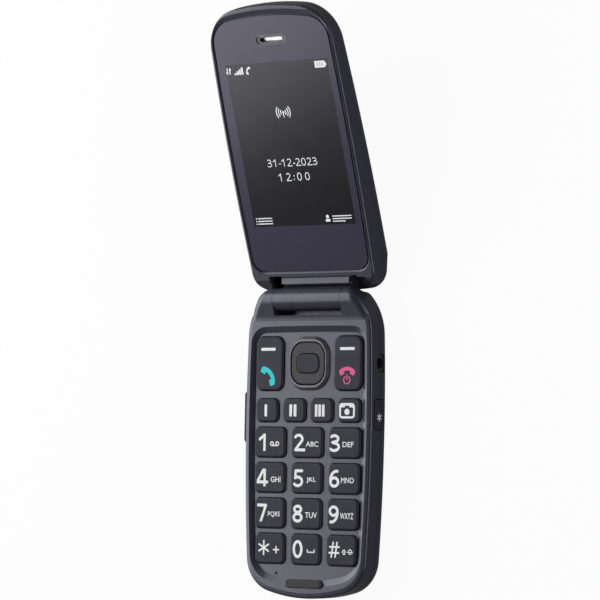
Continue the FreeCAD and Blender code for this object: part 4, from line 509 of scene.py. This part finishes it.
class Paintbox:
    """Every finish and every ink, each built once."""

    def __init__(self) -> None:
        """Builds them."""
        self.finishes = {slot: finish.build() for slot, finish in FINISHES.items()}
        self.inks: dict[InkColour, Material] = {}
        for colour in InkColour:
            name, glow = f"ink_{colour.name.lower()}", INK_GLOW.get(colour, 0.0)
            self.inks[colour] = Plastic(name, colour.value, glow=glow, **INK).build()

    def dress(self, frame: dict) -> None:
        """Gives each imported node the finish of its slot.
        """
        slots = {part["node"]: part["material_slot"] for part in frame["record"]["subparts"]}
        for name, node in frame["nodes"].items():
            node.data.materials.clear()
            node.data.materials.append(self.finishes[Slot(slots[name])])
            log.info("dressed %s with %s", name, slots[name])


# Flat marks as fields: below zero inside the mark, above zero outside it


def arc(x: float, y: float, across: float, along: float, start: float, end: float) -> np.ndarray:
    """Points of an arc between angles in degrees: at angle a, (x + across cos a, y + along sin a)."""
    turn = np.radians(np.linspace(start, end, 25))
    return np.stack([x + across * np.cos(turn), y + along * np.sin(turn)], axis=1)


def stroke(width: float, *paths: object) -> Field:
    """Lines of even width with round ends.

    The field is the distance to the nearest piece of line, less half the width. The nearest
    point of a piece is its start plus a share of it, and the share is held from 0 to 1.

    Args:
        width: Width of the line.
        paths: Rows of points that the lines run through.

    Returns:
        The field.
    """
    rows = [np.array(path, float) for path in paths]
    starts = np.concatenate([row[:-1] for row in rows])
    spans = np.concatenate([row[1:] - row[:-1] for row in rows])
    # The floor keeps a piece of no length from dividing by zero
    squares = np.maximum((spans**2).sum(-1), 1e-12)

    def field_of(x: np.ndarray, y: np.ndarray) -> np.ndarray:
        """Distance to the lines."""
        spot = np.stack([x, y], axis=-1)[..., None, :] - starts
        share = np.clip((spot * spans).sum(-1) / squares, 0, 1)
        return np.linalg.norm(spot - share[..., None] * spans, axis=-1).min(-1) - width / 2

    return field_of


def slab(x: float, y: float, width: float, height: float, corner: float = 0.0, turn: float = 0.0) -> Field:
    """A rectangle with round corners.

    The field is the distance outside the rectangle shrunk by the corner radius, less that radius.

    Args:
        x: Centre across.
        y: Centre along.
        width: Full width.
        height: Full height.
        corner: Corner radius.
        turn: Turn in degrees, anticlockwise.

    Returns:
        The field.
    """

    def field_of(across: np.ndarray, along: np.ndarray) -> np.ndarray:
        """Distance to the rectangle with its centre at the origin."""
        u = np.abs(across) - width / 2 + corner
        v = np.abs(along) - height / 2 + corner
        outside = np.hypot(np.maximum(u, 0), np.maximum(v, 0))
        return outside + np.minimum(np.maximum(u, v), 0) - corner

    return moved(field_of, x, y, turn=turn)


def disc(x: float, y: float, radius: float) -> Field:
    """A disc: the field is the distance to its centre less its radius."""
    return lambda across, along: np.hypot(across - x, along - y) - radius


def together(*fields: Field) -> Field:
    """Union of marks: the lowest field wins."""
    return lambda x, y: np.minimum.reduce([mark(x, y) for mark in fields])


def without(mark: Field, *holes: Field) -> Field:
    """A mark less its holes: the highest of the mark and the holes turned inside out."""
    return lambda x, y: np.maximum.reduce([mark(x, y), *[-hole(x, y) for hole in holes]])


def overlap(first: Field, second: Field) -> Field:
    """What two marks share: the higher field wins."""
    return lambda x, y: np.maximum(first(x, y), second(x, y))


def widened(mark: Field, factor: float) -> Field:
    """A mark made wider: its field is read at x over the factor."""
    return lambda x, y: mark(x / factor, y)


def moved(mark: Field, x: float, y: float, size: float = 1.0, turn: float = 0.0) -> Field:
    """A mark scaled, turned anticlockwise and then moved.

    Args:
        mark: The field to carry.
        x: Move across.
        y: Move along.
        size: Scale.
        turn: Turn in degrees.

    Returns:
        The carried field.
    """
    cosine, sine = math.cos(math.radians(turn)), math.sin(math.radians(turn))

    def field_of(across: np.ndarray, along: np.ndarray) -> np.ndarray:
        """The mark's field at the place carried back."""
        dx, dy = (across - x) / size, (along - y) / size
        return mark(cosine * dx + sine * dy, cosine * dy - sine * dx) * size

    return field_of


def numeral(digit: str, width: float) -> Field:
    """One numeral, 1 high, its left lower corner at the origin.

    Its lines are cut flat where they leave the box of the numeral.

    Args:
        digit: The numeral.
        width: Width of its lines as a share of its height.

    Returns:
        The field.
    """
    near = width / 2
    far = 1 - near
    low, high = near, NUMERAL_WIDTH - near
    middle = NUMERAL_WIDTH / 2
    bowl = (high - low) / 2
    paths: dict[str, list] = {
        "0": [arc(middle, 0.5, bowl, 0.5 - near, 0, 360)],
        "1": [[(0.40, -0.2), (0.40, 1.2)], [(0.40, 0.92), (0.06, 0.68)]],
        "2": [
            np.vstack([arc(0.32, 0.70, 0.26, 0.30 - near, 150, -30), [(low + 0.03, 0.10)]]),
            [(low + 0.02, near), (0.9, near)],
        ],
        "3": [
            arc(0.30, 0.745, 0.26, 0.255 - near, 140, -90),
            arc(0.29, 0.29, high - 0.29, 0.29 - near, 90, -140),
            [(0.17, 0.535), (0.32, 0.535)],
        ],
        "4": [[(0.49, 1.02), (0.045, 0.30)], [(-0.2, 0.25), (1.0, 0.25)], [(0.53, -0.2), (0.53, 1.2)]],
        "5": [
            [(0.14, far), (0.60, far)],
            [(0.15, far), (0.125, 0.56)],
            arc(0.30, 0.325, high - 0.30, 0.325 - near, 128, -142),
        ],
        "6": [
            arc(middle, 0.315, bowl, 0.315 - near, 0, 360),
            arc(0.50, 0.42, 0.50 - low, 0.58 - near, 192, 84),
        ],
        "7": [[(-0.2, far), (0.60, far)], [(0.615, far), (0.19, -0.15)]],
        "8": [
            arc(middle, 0.745, bowl - 0.035, 0.255 - near, 0, 360),
            arc(middle, 0.29, bowl, 0.29 - near, 0, 360),
        ],
    }
    if digit == "9":
        return moved(numeral("6", width), NUMERAL_WIDTH, 1.0, turn=180)
    return overlap(stroke(width, *paths[digit]), slab(0.38, 0.5, 0.80, 1.0))


def handset(size: float) -> Field:
    """A receiver with its arch upwards, 6.4 mm long at size 1: a bent grip and a block at each end."""
    ends = [slab(side * 2.3, -0.75, 1.9, 1.75, 0.2, -side * 22) for side in (-1, 1)]
    return moved(together(stroke(1.3, arc(0, -3.55, 4.1, 4.1, 125, 55)), *ends), 0, 0, size)


# Meshes from fields


@dataclass(frozen=True)
class InkLayer:
    """A layer of ink, rooted a little under the face that carries it, in millimetres."""

    face: float
    sink: float = 0.02
    proud: float = 0.012

    def heights(self) -> tuple[float, float]:
        """Lower and upper face of the ink."""
        return self.face - self.sink, self.face + self.proud


@dataclass
class Plates:
    """Thin closed plates of one ink layer, gathered into one mesh, in millimetres.

    A plate is a grid of triangles clipped along the zero line of its field, doubled for its
    upper and lower face, with a wall of triangles along each edge that only one triangle uses.
    """

    layer: InkLayer
    near_line: float = 0.06
    letter_weight: float = 0.012
    letter_weld: float = 1e-5
    vertices: list[np.ndarray] = field(default_factory=list)
    triangles: list[np.ndarray] = field(default_factory=list)
    count: int = 0

    def gather(self, points: np.ndarray, faces: np.ndarray) -> None:
        """Adds loose points and triangles.

        Args:
            points: Points in a row each.
            faces: Triangles, numbered from the first of these points.
        """
        self.vertices.append(points)
        self.triangles.append(faces + self.count)
        self.count += len(points)

    def add(self, mark: Field, box: Box, step: float = 0.14) -> None:
        """Adds the plate of a field.

        A grid point very near the field's zero line counts as inside, so no sliver is cut there.

        Args:
            mark: The field.
            box: Area to search.
            step: Size of the grid's cells.
        """
        left, right, low, high = box
        columns = math.ceil((right - left) / step) + 1
        rows = math.ceil((high - low) / step) + 1
        x, y = np.meshgrid(left + step * np.arange(columns), low + step * np.arange(rows))
        level = mark(x, y).ravel()
        near = self.near_line * step
        level = np.where(np.abs(level) < near, -near, level)
        spots = np.stack([x.ravel(), y.ravel()], axis=1)
        first = (np.arange(rows - 1)[:, None] * columns + np.arange(columns - 1)).ravel()
        cells = np.stack([first, first + 1, first + columns + 1, first + columns], axis=1)
        grid = np.concatenate([cells[:, [0, 1, 2]], cells[:, [0, 2, 3]]])
        self.thicken(*self.clip(spots, level, grid))

    @staticmethod
    def clip(spots: np.ndarray, level: np.ndarray, grid: np.ndarray) -> tuple[np.ndarray, np.ndarray]:
        """Cuts a triangle grid along the zero line.

        A triangle with one corner inside keeps that corner and two cut points, one with two
        inside keeps a quad. A cut point lies where the level, taken as straight between two
        corners, is zero.

        Args:
            spots: Grid points.
            level: Field at the grid points.
            grid: Triangles.

        Returns:
            Points and triangles of the part below zero.
        """
        inside = level[grid] < 0
        amount = inside.sum(1)
        pieces = [grid[amount == 3]]
        size = len(spots)
        for wanted in (1, 2):
            chosen = grid[amount == wanted]
            marks = inside[amount == wanted]
            lone = np.argmax(marks if wanted == 1 else ~marks, axis=1)
            order = (lone[:, None] + np.arange(3)) % 3
            a, b, c = np.take_along_axis(chosen, order, axis=1).T
            ab = np.minimum(a, b) * size + np.maximum(a, b) + size
            ac = np.minimum(a, c) * size + np.maximum(a, c) + size
            if wanted == 1:
                pieces.append(np.stack([a, ab, ac], axis=1))
            else:
                pieces += [np.stack([ab, b, c], axis=1), np.stack([ab, c, ac], axis=1)]
        names = np.concatenate(pieces)
        kept, faces = np.unique(names, return_inverse=True)
        edge = kept - size
        one, two = np.divmod(np.maximum(edge, 0), size)
        share = level[one] / np.where(level[one] == level[two], 1, level[one] - level[two])
        crossing = spots[one] + share[:, None] * (spots[two] - spots[one])
        points = np.where((kept >= size)[:, None], crossing, spots[np.minimum(kept, size - 1)])
        return points, faces.reshape(-1, 3)

    def thicken(self, flat: np.ndarray, faces: np.ndarray) -> None:
        """Doubles a flat mesh to the layer's two heights and closes it with walls.

        Args:
            flat: Points.
            faces: Triangles that run anticlockwise.
        """
        bottom, top = self.layer.heights()
        size = len(flat)
        upper = np.column_stack([flat, np.full(size, top)])
        lower = np.column_stack([flat, np.full(size, bottom)])
        edges = np.concatenate([faces[:, [0, 1]], faces[:, [1, 2]], faces[:, [2, 0]]])
        keys = edges[:, 0] * size + edges[:, 1]
        rim = edges[~np.isin(keys, edges[:, 1] * size + edges[:, 0])]
        start, end = rim.T
        outer = np.stack([start + size, end + size, end], axis=1)
        inner = np.stack([start + size, end, start], axis=1)
        walls = np.concatenate([outer, inner])
        self.gather(np.concatenate([upper, lower]), np.concatenate([faces, faces[:, ::-1] + size, walls]))

    def letter(self, words: str, box: Box) -> None:
        """Adds plain letters, fitted to a box.

        Args:
            words: The letters.
            box: The box that their outlines fill.
        """
        curve = bpy.data.curves.new("letters", "FONT")
        curve.body = words
        curve.resolution_u = 3
        curve.offset = self.letter_weight
        curve.extrude = 0.5
        text = bpy.data.objects.new("letters", curve)
        bpy.context.scene.collection.objects.link(text)
        mesh = bpy.data.meshes.new_from_object(text.evaluated_get(bpy.context.evaluated_depsgraph_get()))
        shell = bmesh.new()
        shell.from_mesh(mesh)
        bmesh.ops.remove_doubles(shell, verts=shell.verts, dist=self.letter_weld)
        bmesh.ops.triangulate(shell, faces=shell.faces)
        shell.to_mesh(mesh)
        shell.free()
        points = np.empty(len(mesh.vertices) * 3)
        mesh.vertices.foreach_get("co", points)
        points = points.reshape(-1, 3)
        faces = np.empty(len(mesh.polygons) * 3, np.int64)
        mesh.polygons.foreach_get("vertices", faces)
        low, high = points.min(0), points.max(0)
        # The box's sides and the layer's heights are the new lowest and highest x, y and z
        left, right, near, far = box
        target_low, target_high = np.array([(left, right), (near, far), self.layer.heights()]).T
        points = target_low + (points - low) / (high - low) * (target_high - target_low)
        self.gather(points, faces.reshape(-1, 3))
        bpy.data.objects.remove(text)
        bpy.data.curves.remove(curve)
        bpy.data.meshes.remove(mesh)

    def piece(
        self, name: str, material: Material, body: str, slot: Slot, carry: Callable | None = None
    ) -> None:
        """Turns the plates into a piece of the scene.

        Args:
            name: Name of the piece.
            material: Its material.
            body: Body that it rides on.
            slot: Slot that its finish belongs to; not used.
            carry: Carries points in millimetres to the part's frame.
        """
        points = np.concatenate(self.vertices)
        if carry is not None:
            points = carry(points)
        mesh = bpy.data.meshes.new(name)
        mesh.from_pydata((points * MM).tolist(), [], np.concatenate(self.triangles).tolist())
        mesh.update()
        mesh.materials.append(material)
        piece = bpy.data.objects.new(name, mesh)
        bpy.context.scene.collection.objects.link(piece)
        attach(piece, body)
        log.info("%s: %d triangles on %s", name, len(mesh.polygons), body)


# Printed marks of the base, in millimetres


@dataclass
class KeyMarks:
    """Marks on the upper faces of keys."""

    paints: Paintbox
    layer: InkLayer = InkLayer(10.55)
    sign_step: float = 0.12

    def stamp(self, name: str, body: str, mark: Field, colour: InkColour = InkColour.WHITE) -> None:
        """Prints one mark as a piece of its own, within the box of its key.

        Args:
            name: Name of the piece.
            body: Key that carries it.
            mark: The mark's field.
            colour: Colour of the ink.
        """
        low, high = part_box(body)
        plates = Plates(self.layer)
        plates.add(mark, (low.x / MM, high.x / MM, low.y / MM, high.y / MM), self.sign_step)
        plates.piece(name, self.paints.inks[colour], body, Slot.KEY)


@dataclass(frozen=True)
class KeyPrint:
    """What is printed on one number key: its numeral and small letters, each with its box."""

    numeral: str
    box: Box
    letters: str = ""
    letters_box: Box = (0.0, 0.0, 0.0, 0.0)


@dataclass
class Keypad(KeyMarks):
    """Marks on the sixteen straight keys."""

    line: float = 0.165
    margin: float = 0.3
    right_margin: float = 0.5
    beside_start: float = 0.2
    beside_end: float = 8.0
    beside_step: float = 0.1
    prints: tuple[KeyPrint, ...] = (
        KeyPrint("1", (-20.34, -17.45, -3.12, 2.86)),
        KeyPrint("2", (-5.34, -1.15, -3.06, 2.92), "ABC", (-0.36, 4.95, -1.45, 0.34)),
        KeyPrint("3", (9.86, 14.03, -3.14, 2.88), "DEF", (15.11, 19.68, -1.44, 0.34)),
        KeyPrint("4", (-20.86, -16.12, -15.23, -9.16), "GHI", (-15.00, -10.83, -13.71, -11.80)),
        KeyPrint("5", (-5.24, -1.18, -15.25, -9.18), "JKL", (0.22, 4.26, -13.80, -11.85)),
        KeyPrint("6", (9.82, 14.00, -15.17, -9.11), "MNO", (14.72, 20.06, -13.59, -11.67)),
        KeyPrint("7", (-20.45, -16.45, -27.25, -21.14), "PQRS", (-15.94, -10.86, -25.67, -23.70)),
        KeyPrint("8", (-5.39, -1.15, -27.28, -21.17), "TUV", (-0.11, 4.89, -25.65, -23.70)),
        KeyPrint("9", (9.79, 13.96, -27.25, -21.14), "WXYZ", (14.57, 20.08, -25.66, -23.60)),
        KeyPrint("0", (-5.11, -0.87, -39.34, -33.19)),
    )

    def numbers(self) -> None:
        """Prints numerals and letters, and the marks that stand beside 1 and 0."""
        reels = [arc(x, -0.55, 0.62, 0.62, 0, 360) for x in (-14.75, -12.5)]
        beside = {
            "1": stroke(0.42, *reels, [(-14.75, -1.2), (-12.5, -1.2)]),
            "0": stroke(0.4, [(1.15, -36.35), (1.15, -37.2), (4.0, -37.2), (4.0, -36.35)]),
        }
        for key in self.prints:
            left, right, low, high = key.box
            height = high - low
            factor = (right - left) / height / NUMERAL_REACH.get(key.numeral, NUMERAL_WIDTH)
            mark = moved(widened(numeral(key.numeral, self.line), factor), left, low, height)
            plates = Plates(self.layer)
            sides = left - self.margin, right + self.right_margin
            plates.add(mark, (*sides, low - self.margin, high + self.margin))
            if key.letters:
                plates.letter(key.letters, key.letters_box)
            if key.numeral in beside:
                sides = right + self.beside_start, right + self.beside_end
                plates.add(beside[key.numeral], (*sides, low, high), self.beside_step)
            body = f"key_{key.numeral}"
            plates.piece(f"{body}_print", self.paints.inks[InkColour.WHITE], body, Slot.KEY)

    def signs(self) -> None:
        """Prints the star and hash keys, the three memory keys and the camera key."""
        star_x, star_y, arm = -17.46, -36.14, 2.3
        arms = [
            [(star_x + side * arm * math.sin(a), star_y + side * arm * math.cos(a)) for side in (-1, 1)]
            for a in np.radians([0, 60, 120])
        ]
        plus = [[(-13.3, -36.72), (-11.05, -36.72)], [(-12.17, -37.8), (-12.17, -35.65)]]
        hatch = [
            [(11.2, -38.5), (11.95, -33.6)], [(12.8, -38.5), (13.55, -33.6)],
            [(10.3, -37.1), (14.25, -37.1)], [(10.5, -35.1), (14.45, -35.1)],
        ]
        shift = [
            [(15.72, -36.75), (16.47, -35.9), (17.22, -36.75)], [(16.12, -36.8), (16.12, -37.5)],
            [(16.12, -37.5), (16.82, -37.5), (16.82, -36.8)],
        ]
        bell = [
            arc(18.98, -36.75, 0.72, 0.85, 0, 180), [(18.0, -36.85), (19.96, -36.85)],
            [(18.6, -37.35), (19.36, -37.35)],
        ]
        camera_x, camera_y = 16.7, 10.45
        body = together(slab(camera_x, camera_y, 5.0, 3.0, 0.45), slab(camera_x, 12.05, 1.9, 0.9, 0.3))
        ring = without(slab(camera_x, 10.82, 6.5, 5.2, 1.2), body)
        marks = {
            "key_star": together(stroke(0.62, *arms), stroke(0.5, *plus)),
            "key_hash": together(stroke(0.62, *hatch), stroke(0.32, *shift), stroke(0.34, *bell)),
            "memory_key_1": slab(-17.65, 10.82, 1.1, 4.1, 0.1),
            "memory_key_2": together(*[slab(x, 10.84, 1.15, 4.1, 0.1) for x in (-7.0, -5.17)]),
            "memory_key_3": together(*[slab(x, 10.84, 1.05, 4.1, 0.1) for x in (3.8, 5.27, 6.76)]),
            "camera_key": together(ring, disc(camera_x, camera_y, 1.05)),
        }
        for key, mark in marks.items():
            self.stamp(f"{key}_print", key, mark)


@dataclass
class CallKeys(KeyMarks):
    """Marks on the two rocker keys: soft-key dashes, receivers and the power sign."""

    left_key: str = "left_rocker_key"
    right_key: str = "right_rocker_key"
    right_x: float = 16.39
    dash_y: float = 31.79

    def build(self) -> None:
        """Prints each mark as a piece of its own."""
        x = self.right_x
        power = stroke(0.42, arc(x, 21.2, 1.3, 1.3, 125, 415), [(x, 21.4), (x, 22.9)])
        call = moved(handset(1.18), -16.4, 23.1, turn=-49)
        self.stamp("left_dash", self.left_key, slab(-17.04, self.dash_y, 6.1, 1.0, 0.2))
        self.stamp("right_dash", self.right_key, slab(x, self.dash_y, 6.1, 1.0, 0.2))
        self.stamp("call_sign", self.left_key, call, InkColour.CYAN)
        self.stamp("end_sign", self.right_key, moved(handset(0.98), 16.46, 24.5), InkColour.PINK)
        self.stamp("power_sign", self.right_key, power, InkColour.PINK)


@dataclass
class SideKeys:
    """Marks on the torch key and the volume rocker, whose faces look to the right and the left.

    The layers' heights count outwards from the middle of the phone.
    """

    paints: Paintbox
    torch: InkLayer = InkLayer(27.02)
    volume: InkLayer = InkLayer(27.82)
    lamp_y: float = 8.74
    lamp_z: float = 6.2
    volume_z: float = 6.4

    def build(self) -> None:
        """Prints a lamp sign, and plus and minus."""
        rays = [
            [(self.lamp_y + r * math.cos(a), self.lamp_z + r * math.sin(a)) for r in (0.9, 1.25)]
            for a in np.radians(np.arange(0, 360, 60))
        ]
        bulb = stroke(0.34, arc(self.lamp_y, self.lamp_z, 0.5, 0.5, 0, 360))
        z = self.volume_z
        signs = stroke(0.3, [(-14.1, z), (-12.5, z)], [(-13.3, 5.6), (-13.3, 7.2)], [(-4.6, z), (-3.0, z)])
        lamp = together(bulb, stroke(0.3, *rays))
        for name, body, layer, mark, box, step, carry in (
            ("torch_sign", "torch_key", self.torch, lamp, (7.2, 10.3, 4.7, 7.7), 0.08, self.facing_right),
            ("volume_signs", "volume_rocker", self.volume, signs, (-15, -2, 5, 8), 0.1, self.facing_left),
        ):
            plates = Plates(layer)
            plates.add(mark, box, step)
            plates.piece(name, self.paints.inks[InkColour.WHITE], body, Slot.KEY, carry)

    @staticmethod
    def facing_right(points: np.ndarray) -> np.ndarray:
        """Carries (y, z, height) to x, y, z on a face that looks along +X."""
        return points[:, [2, 0, 1]]

    @staticmethod
    def facing_left(points: np.ndarray) -> np.ndarray:
        """Carries (-y, z, height) to x, y, z on a face that looks along -X."""
        return np.column_stack([-points[:, 2], -points[:, 0], points[:, 1]])


# Picture on the display


@dataclass
class DisplayPicture:
    """Status signs, date, clock and soft-key signs, laid on the window's face in the lid's frame.

    Rooms are widths that a sign takes in a row; the other sizes of signs in a row are shares
    of a room or of the row's height.
    """

    paints: Paintbox
    lid: LidFrame = LidFrame()
    layer: InkLayer = InkLayer(-2.75, proud=0.01)
    step: float = 0.09
    line: float = 0.105
    numeral_room: float = 0.78
    dash_room: float = 0.42
    colon_room: float = 0.30
    dash_middle: float = 0.42
    dash_level: float = 0.36
    dash_length: float = 0.3
    dash_height: float = 0.1
    dot_levels: tuple[float, float] = (0.2, 0.62)
    dot_radius: float = 0.08
    margin: float = 0.2
    right_margin: float = 0.3

    def write(self, plates: Plates, signs: str, box: Box) -> None:
        """Adds a row of numerals, dashes and colons, evenly spread over a box.

        Args:
            plates: Plates to add them to.
            signs: The row.
            box: Its box in the lid's frame.
        """
        left, right, low, high = box
        height = high - low
        rooms = {"-": self.dash_room, ":": self.colon_room}
        widths = np.array([rooms.get(sign, self.numeral_room) for sign in signs])
        scale = (right - left) / widths.sum()
        starts = left + scale * (np.cumsum(widths) - widths)
        # Room that a numeral leaves free on its right, which the colon has on its left
        free = self.numeral_room * scale - NUMERAL_WIDTH * height
        for sign, start, width in zip(signs, starts, widths):
            if sign == "-":
                middle, level = start + self.dash_middle * width * scale, low + self.dash_level * height
                mark = slab(middle, level, self.dash_length * scale, self.dash_height * height)
            elif sign == ":":
                middle = start + (width * scale - free) / 2
                levels = [low + share * height for share in self.dot_levels]
                mark = together(*[disc(middle, level, self.dot_radius * height) for level in levels])
            else:
                mark = moved(numeral(sign, self.line), start, low, height)
            sides = start - self.margin, start + width * scale + self.right_margin
            plates.add(mark, (*sides, low - self.margin, high + self.margin), self.step)

    def signs(self) -> list[tuple[Field, Box]]:
        """Arrows, bars and receiver, battery, mast, and above the soft keys a list and a card.

        Returns:
            Marks, each with the area to search.
        """
        bars = [slab(-17.1 + 0.98 * n, 79.0 + 0.3 * n, 0.78, 0.7 + 0.6 * n) for n in range(4)]
        arrows = stroke(
            0.42, [(-20.4, 79.2), (-20.4, 81.0)], [(-20.8, 79.7), (-20.4, 79.2)],
            [(-19.4, 79.2), (-19.4, 81.0)], [(-19.0, 80.5), (-19.4, 81.0)],
        )
        receiver = moved(handset(0.44), -11.8, 80.0, turn=62)
        cell_y = 80.35
        gaps = [slab(x, cell_y, 0.2, 1.5) for x in (17.6, 18.6, 19.6)]
        cell = without(together(slab(18.6, cell_y, 4.3, 2.3, 0.2), slab(21.0, cell_y, 0.5, 1.1)), *gaps)
        mast_y = 64.85
        waves = [arc(0, mast_y, r, r, a - 38, a + 38) for r in (1.1, 2.0, 2.9) for a in (0, 180)]
        mast = together(disc(0, mast_y, 0.42), stroke(0.36, *waves), stroke(0.36, [(0, 64.6), (0, 63.2)]))
        rows = [26.35 + 0.95 * n for n in range(3)]
        lines = [slab(-15.9, y, 6.2, 0.34) for y in rows]
        dots = [slab(-19.6, y, 0.42, 0.42) for y in rows]
        person = together(disc(10.6, 28.1, 0.62), slab(10.6, 26.8, 2.0, 0.9, 0.4))
        words = [slab(16.6, 28.2, 8.0, 0.34), slab(16.6, 27.3, 8.0, 0.34), slab(15.2, 26.4, 5.2, 0.34)]
        return [
            (together(arrows, *bars, receiver), (-21.3, -10, 78.4, 82)),
            (cell, (16, 21.6, 79, 82)),
            (mast, (-4, 4, 62, 68)),
            (together(*lines, *dots), (-20.6, -12, 25.6, 29.2)),
            (together(person, *words), (9, 21.4, 25.6, 29.2)),
        ]

    def build(self) -> None:
        """Makes the date and clock one piece and the signs another."""
        rows = Plates(self.layer)
        self.write(rows, "31-12-2023", (-10.6, 10.9, 46.1, 48.8))
        self.write(rows, "12:00", (-7.0, 7.6, 41.0, 43.8))
        signs = Plates(self.layer)
        for mark, box in self.signs():
            signs.add(mark, box, self.step)
        for name, plates in (("display_date_and_clock", rows), ("display_signs", signs)):
            plates.piece(name, self.paints.inks[InkColour.PIXEL], "lid", Slot.DISPLAY, self.lid.carry)


# Studio


@dataclass(frozen=True)
class SoftLamp:
    """A rectangular soft box: places and sizes in metres, power in watts."""

    name: str
    place: Xyz
    aim: Xyz
    width: float
    height: float
    power: float

    def build(self) -> None:
        """Puts the lamp in the scene, turned to its aim."""
        lamp = bpy.data.lights.new(self.name, "AREA")
        lamp.shape = "RECTANGLE"
        lamp.size = self.width
        lamp.size_y = self.height
        lamp.energy = self.power
        holder = bpy.data.objects.new(self.name, lamp)
        forward = (Vector(self.aim) - Vector(self.place)).normalized()
        along = (Vector((0, 1, 0)) - forward * forward.y).normalized()
        turn = Matrix((along, along.cross(forward), -forward)).transposed()
        holder.matrix_world = Matrix.Translation(self.place) @ turn.to_4x4()
        bpy.context.scene.collection.objects.link(holder)


def turned(axis: int, angle: float) -> np.ndarray:
    """Matrix of a turn: the two axes after the given one mix by the angle's cosine and sine.

    Args:
        axis: 0, 1 or 2 for x, y or z.
        angle: Angle in radians.

    Returns:
        The matrix, 3 by 3.
    """
    first, second = (axis + 1) % 3, (axis + 2) % 3
    turn = np.eye(3)
    turn[first, first] = turn[second, second] = math.cos(angle)
    turn[second, first] = math.sin(angle)
    turn[first, second] = -math.sin(angle)
    return turn


@dataclass
class Studio:
    """Pale floor, a soft lamp on the left and a strip on the right, surround and camera.

    The floor's size is in metres. The solved view has radians and millimetres.
    """

    floor_size: float = 6.0
    floor_drop: float = 0.05
    floor_colour: Rgb = (236, 236, 238)
    floor_clouds: float = 400.0
    floor_mottling: float = 0.02
    floor_roughness: float = 0.9
    unseen_colour: Rgb = (110, 110, 112)
    shadow_share: float = 0.06
    mirrored_share: float = 0.12
    sky_left: float = -0.7
    sky_right: float = 0.5
    sky_low: float = 0.07
    sky_high: float = 0.35
    lamps: tuple[SoftLamp, ...] = (
        SoftLamp("left_soft_box", (-0.517, 0.2, 0.305), (-0.008, 0.2, -0.013), 0.7, 0.63, 5.3),
        SoftLamp("right_strip", (0.58, 0.05, 0.155), (0.0, 0.05, 0.0), 0.7, 0.16, 1.9),
    )
    yaw: float = -0.640437626
    pitch: float = -0.0519306428
    roll: float = -0.0184309812
    distance: float = 1127.56753
    aside: tuple[float, float] = (3.99293026, 9.45944575)
    pivot: Xyz = (0.0, 58.0, 9.4)
    focal_pixels: float = 3305.9036
    image_pixels: float = 600.0
    sensor_width: float = 36.0

    def floor(self) -> None:
        """Lays the floor: white glow with a share of shadow to the camera, darker to other rays."""
        half = self.floor_size / 2
        level = -self.floor_drop * MM
        square = [(x * half, y * half, level) for x, y in ((-1, -1), (1, -1), (1, 1), (-1, 1))]
        mesh = bpy.data.meshes.new("floor")
        mesh.from_pydata(square, [], [(0, 1, 2, 3)])
        floor = bpy.data.objects.new("floor", mesh)
        bpy.context.scene.collection.objects.link(floor)
        wiring = Shader("floor_paper")
        rays = wiring.add("ShaderNodeLightPath").outputs
        paper = wiring.mottled(self.floor_colour, self.floor_clouds, self.floor_mottling)
        tinted = wiring.blend(rays["Is Camera Ray"], linear(self.unseen_colour), paper)
        wiring.set(Base_Color=tinted, Roughness=self.floor_roughness, Specular_IOR_Level=0.0)
        seen = wiring.math("MAXIMUM", rays["Is Camera Ray"], rays["Is Transmission Ray"])
        mirrored = wiring.math("MULTIPLY", rays["Is Glossy Ray"], self.mirrored_share)
        share = wiring.math("MAXIMUM", wiring.math("MULTIPLY", seen, 1 - self.shadow_share), mirrored)
        glow = wiring.add("ShaderNodeEmission").outputs[0]
        mix = wiring.add("ShaderNodeMixShader", {0: share, 1: wiring.shader.outputs[0], 2: glow})
        wiring.join(mix.outputs[0], wiring.output.inputs["Surface"])
        mesh.materials.append(wiring.material)

    def sky(self) -> None:
        """Soft surround, brighter from the left, dim on the right, and pale to the camera."""
        world = bpy.data.worlds.new("surround")
        bpy.context.scene.world = world
        world.use_nodes = True
        wiring = Wiring(world.node_tree)
        place = wiring.add("ShaderNodeTexCoord").outputs["Generated"]
        across = wiring.add("ShaderNodeSeparateXYZ", {0: place}).outputs["X"]
        ends = self.sky_left, self.sky_right, self.sky_high, self.sky_low
        dimming = wiring.spread(across, *ends, soft=True)
        seen = wiring.add("ShaderNodeLightPath").outputs["Is Camera Ray"]
        background = wiring.add("ShaderNodeBackground", {"Strength": wiring.math("MAXIMUM", dimming, seen)})
        wiring.add("ShaderNodeOutputWorld", {"Surface": background.outputs[0]})

    def camera(self) -> None:
        """Places the camera by the solved view: turns about Y, then X, then Z, and a distance."""
        turn = (turned(2, self.roll) @ turned(0, self.pitch) @ turned(1, self.yaw)).T
        offset = np.array([*self.aside, -self.distance])
        place = (np.array(self.pivot) - turn @ offset) * MM
        data = bpy.data.cameras.new("photograph_view")
        data.sensor_width = self.sensor_width
        data.lens = self.sensor_width * self.focal_pixels / self.image_pixels
        camera = bpy.data.objects.new("photograph_view", data)
        camera.matrix_world = Matrix.Translation(place.tolist()) @ Matrix(turn.tolist()).to_4x4()
        bpy.context.scene.collection.objects.link(camera)
        bpy.context.scene.camera = camera

    def build(self) -> None:
        """Sets the whole studio up."""
        bpy.context.scene.view_settings.view_transform = "Standard"
        self.floor()
        self.sky()
        for lamp in self.lamps:
            lamp.build()
        self.camera()


def main() -> None:
    """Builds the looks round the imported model."""
    logging.basicConfig(level=logging.INFO, format="%(name)s: %(message)s")
    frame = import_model()
    paints = Paintbox()
    paints.dress(frame)
    keypad = Keypad(paints)
    keypad.numbers()
    keypad.signs()
    CallKeys(paints).build()
    SideKeys(paints).build()
    DisplayPicture(paints).build()
    Studio().build()


if __name__ == "__main__":
    main()
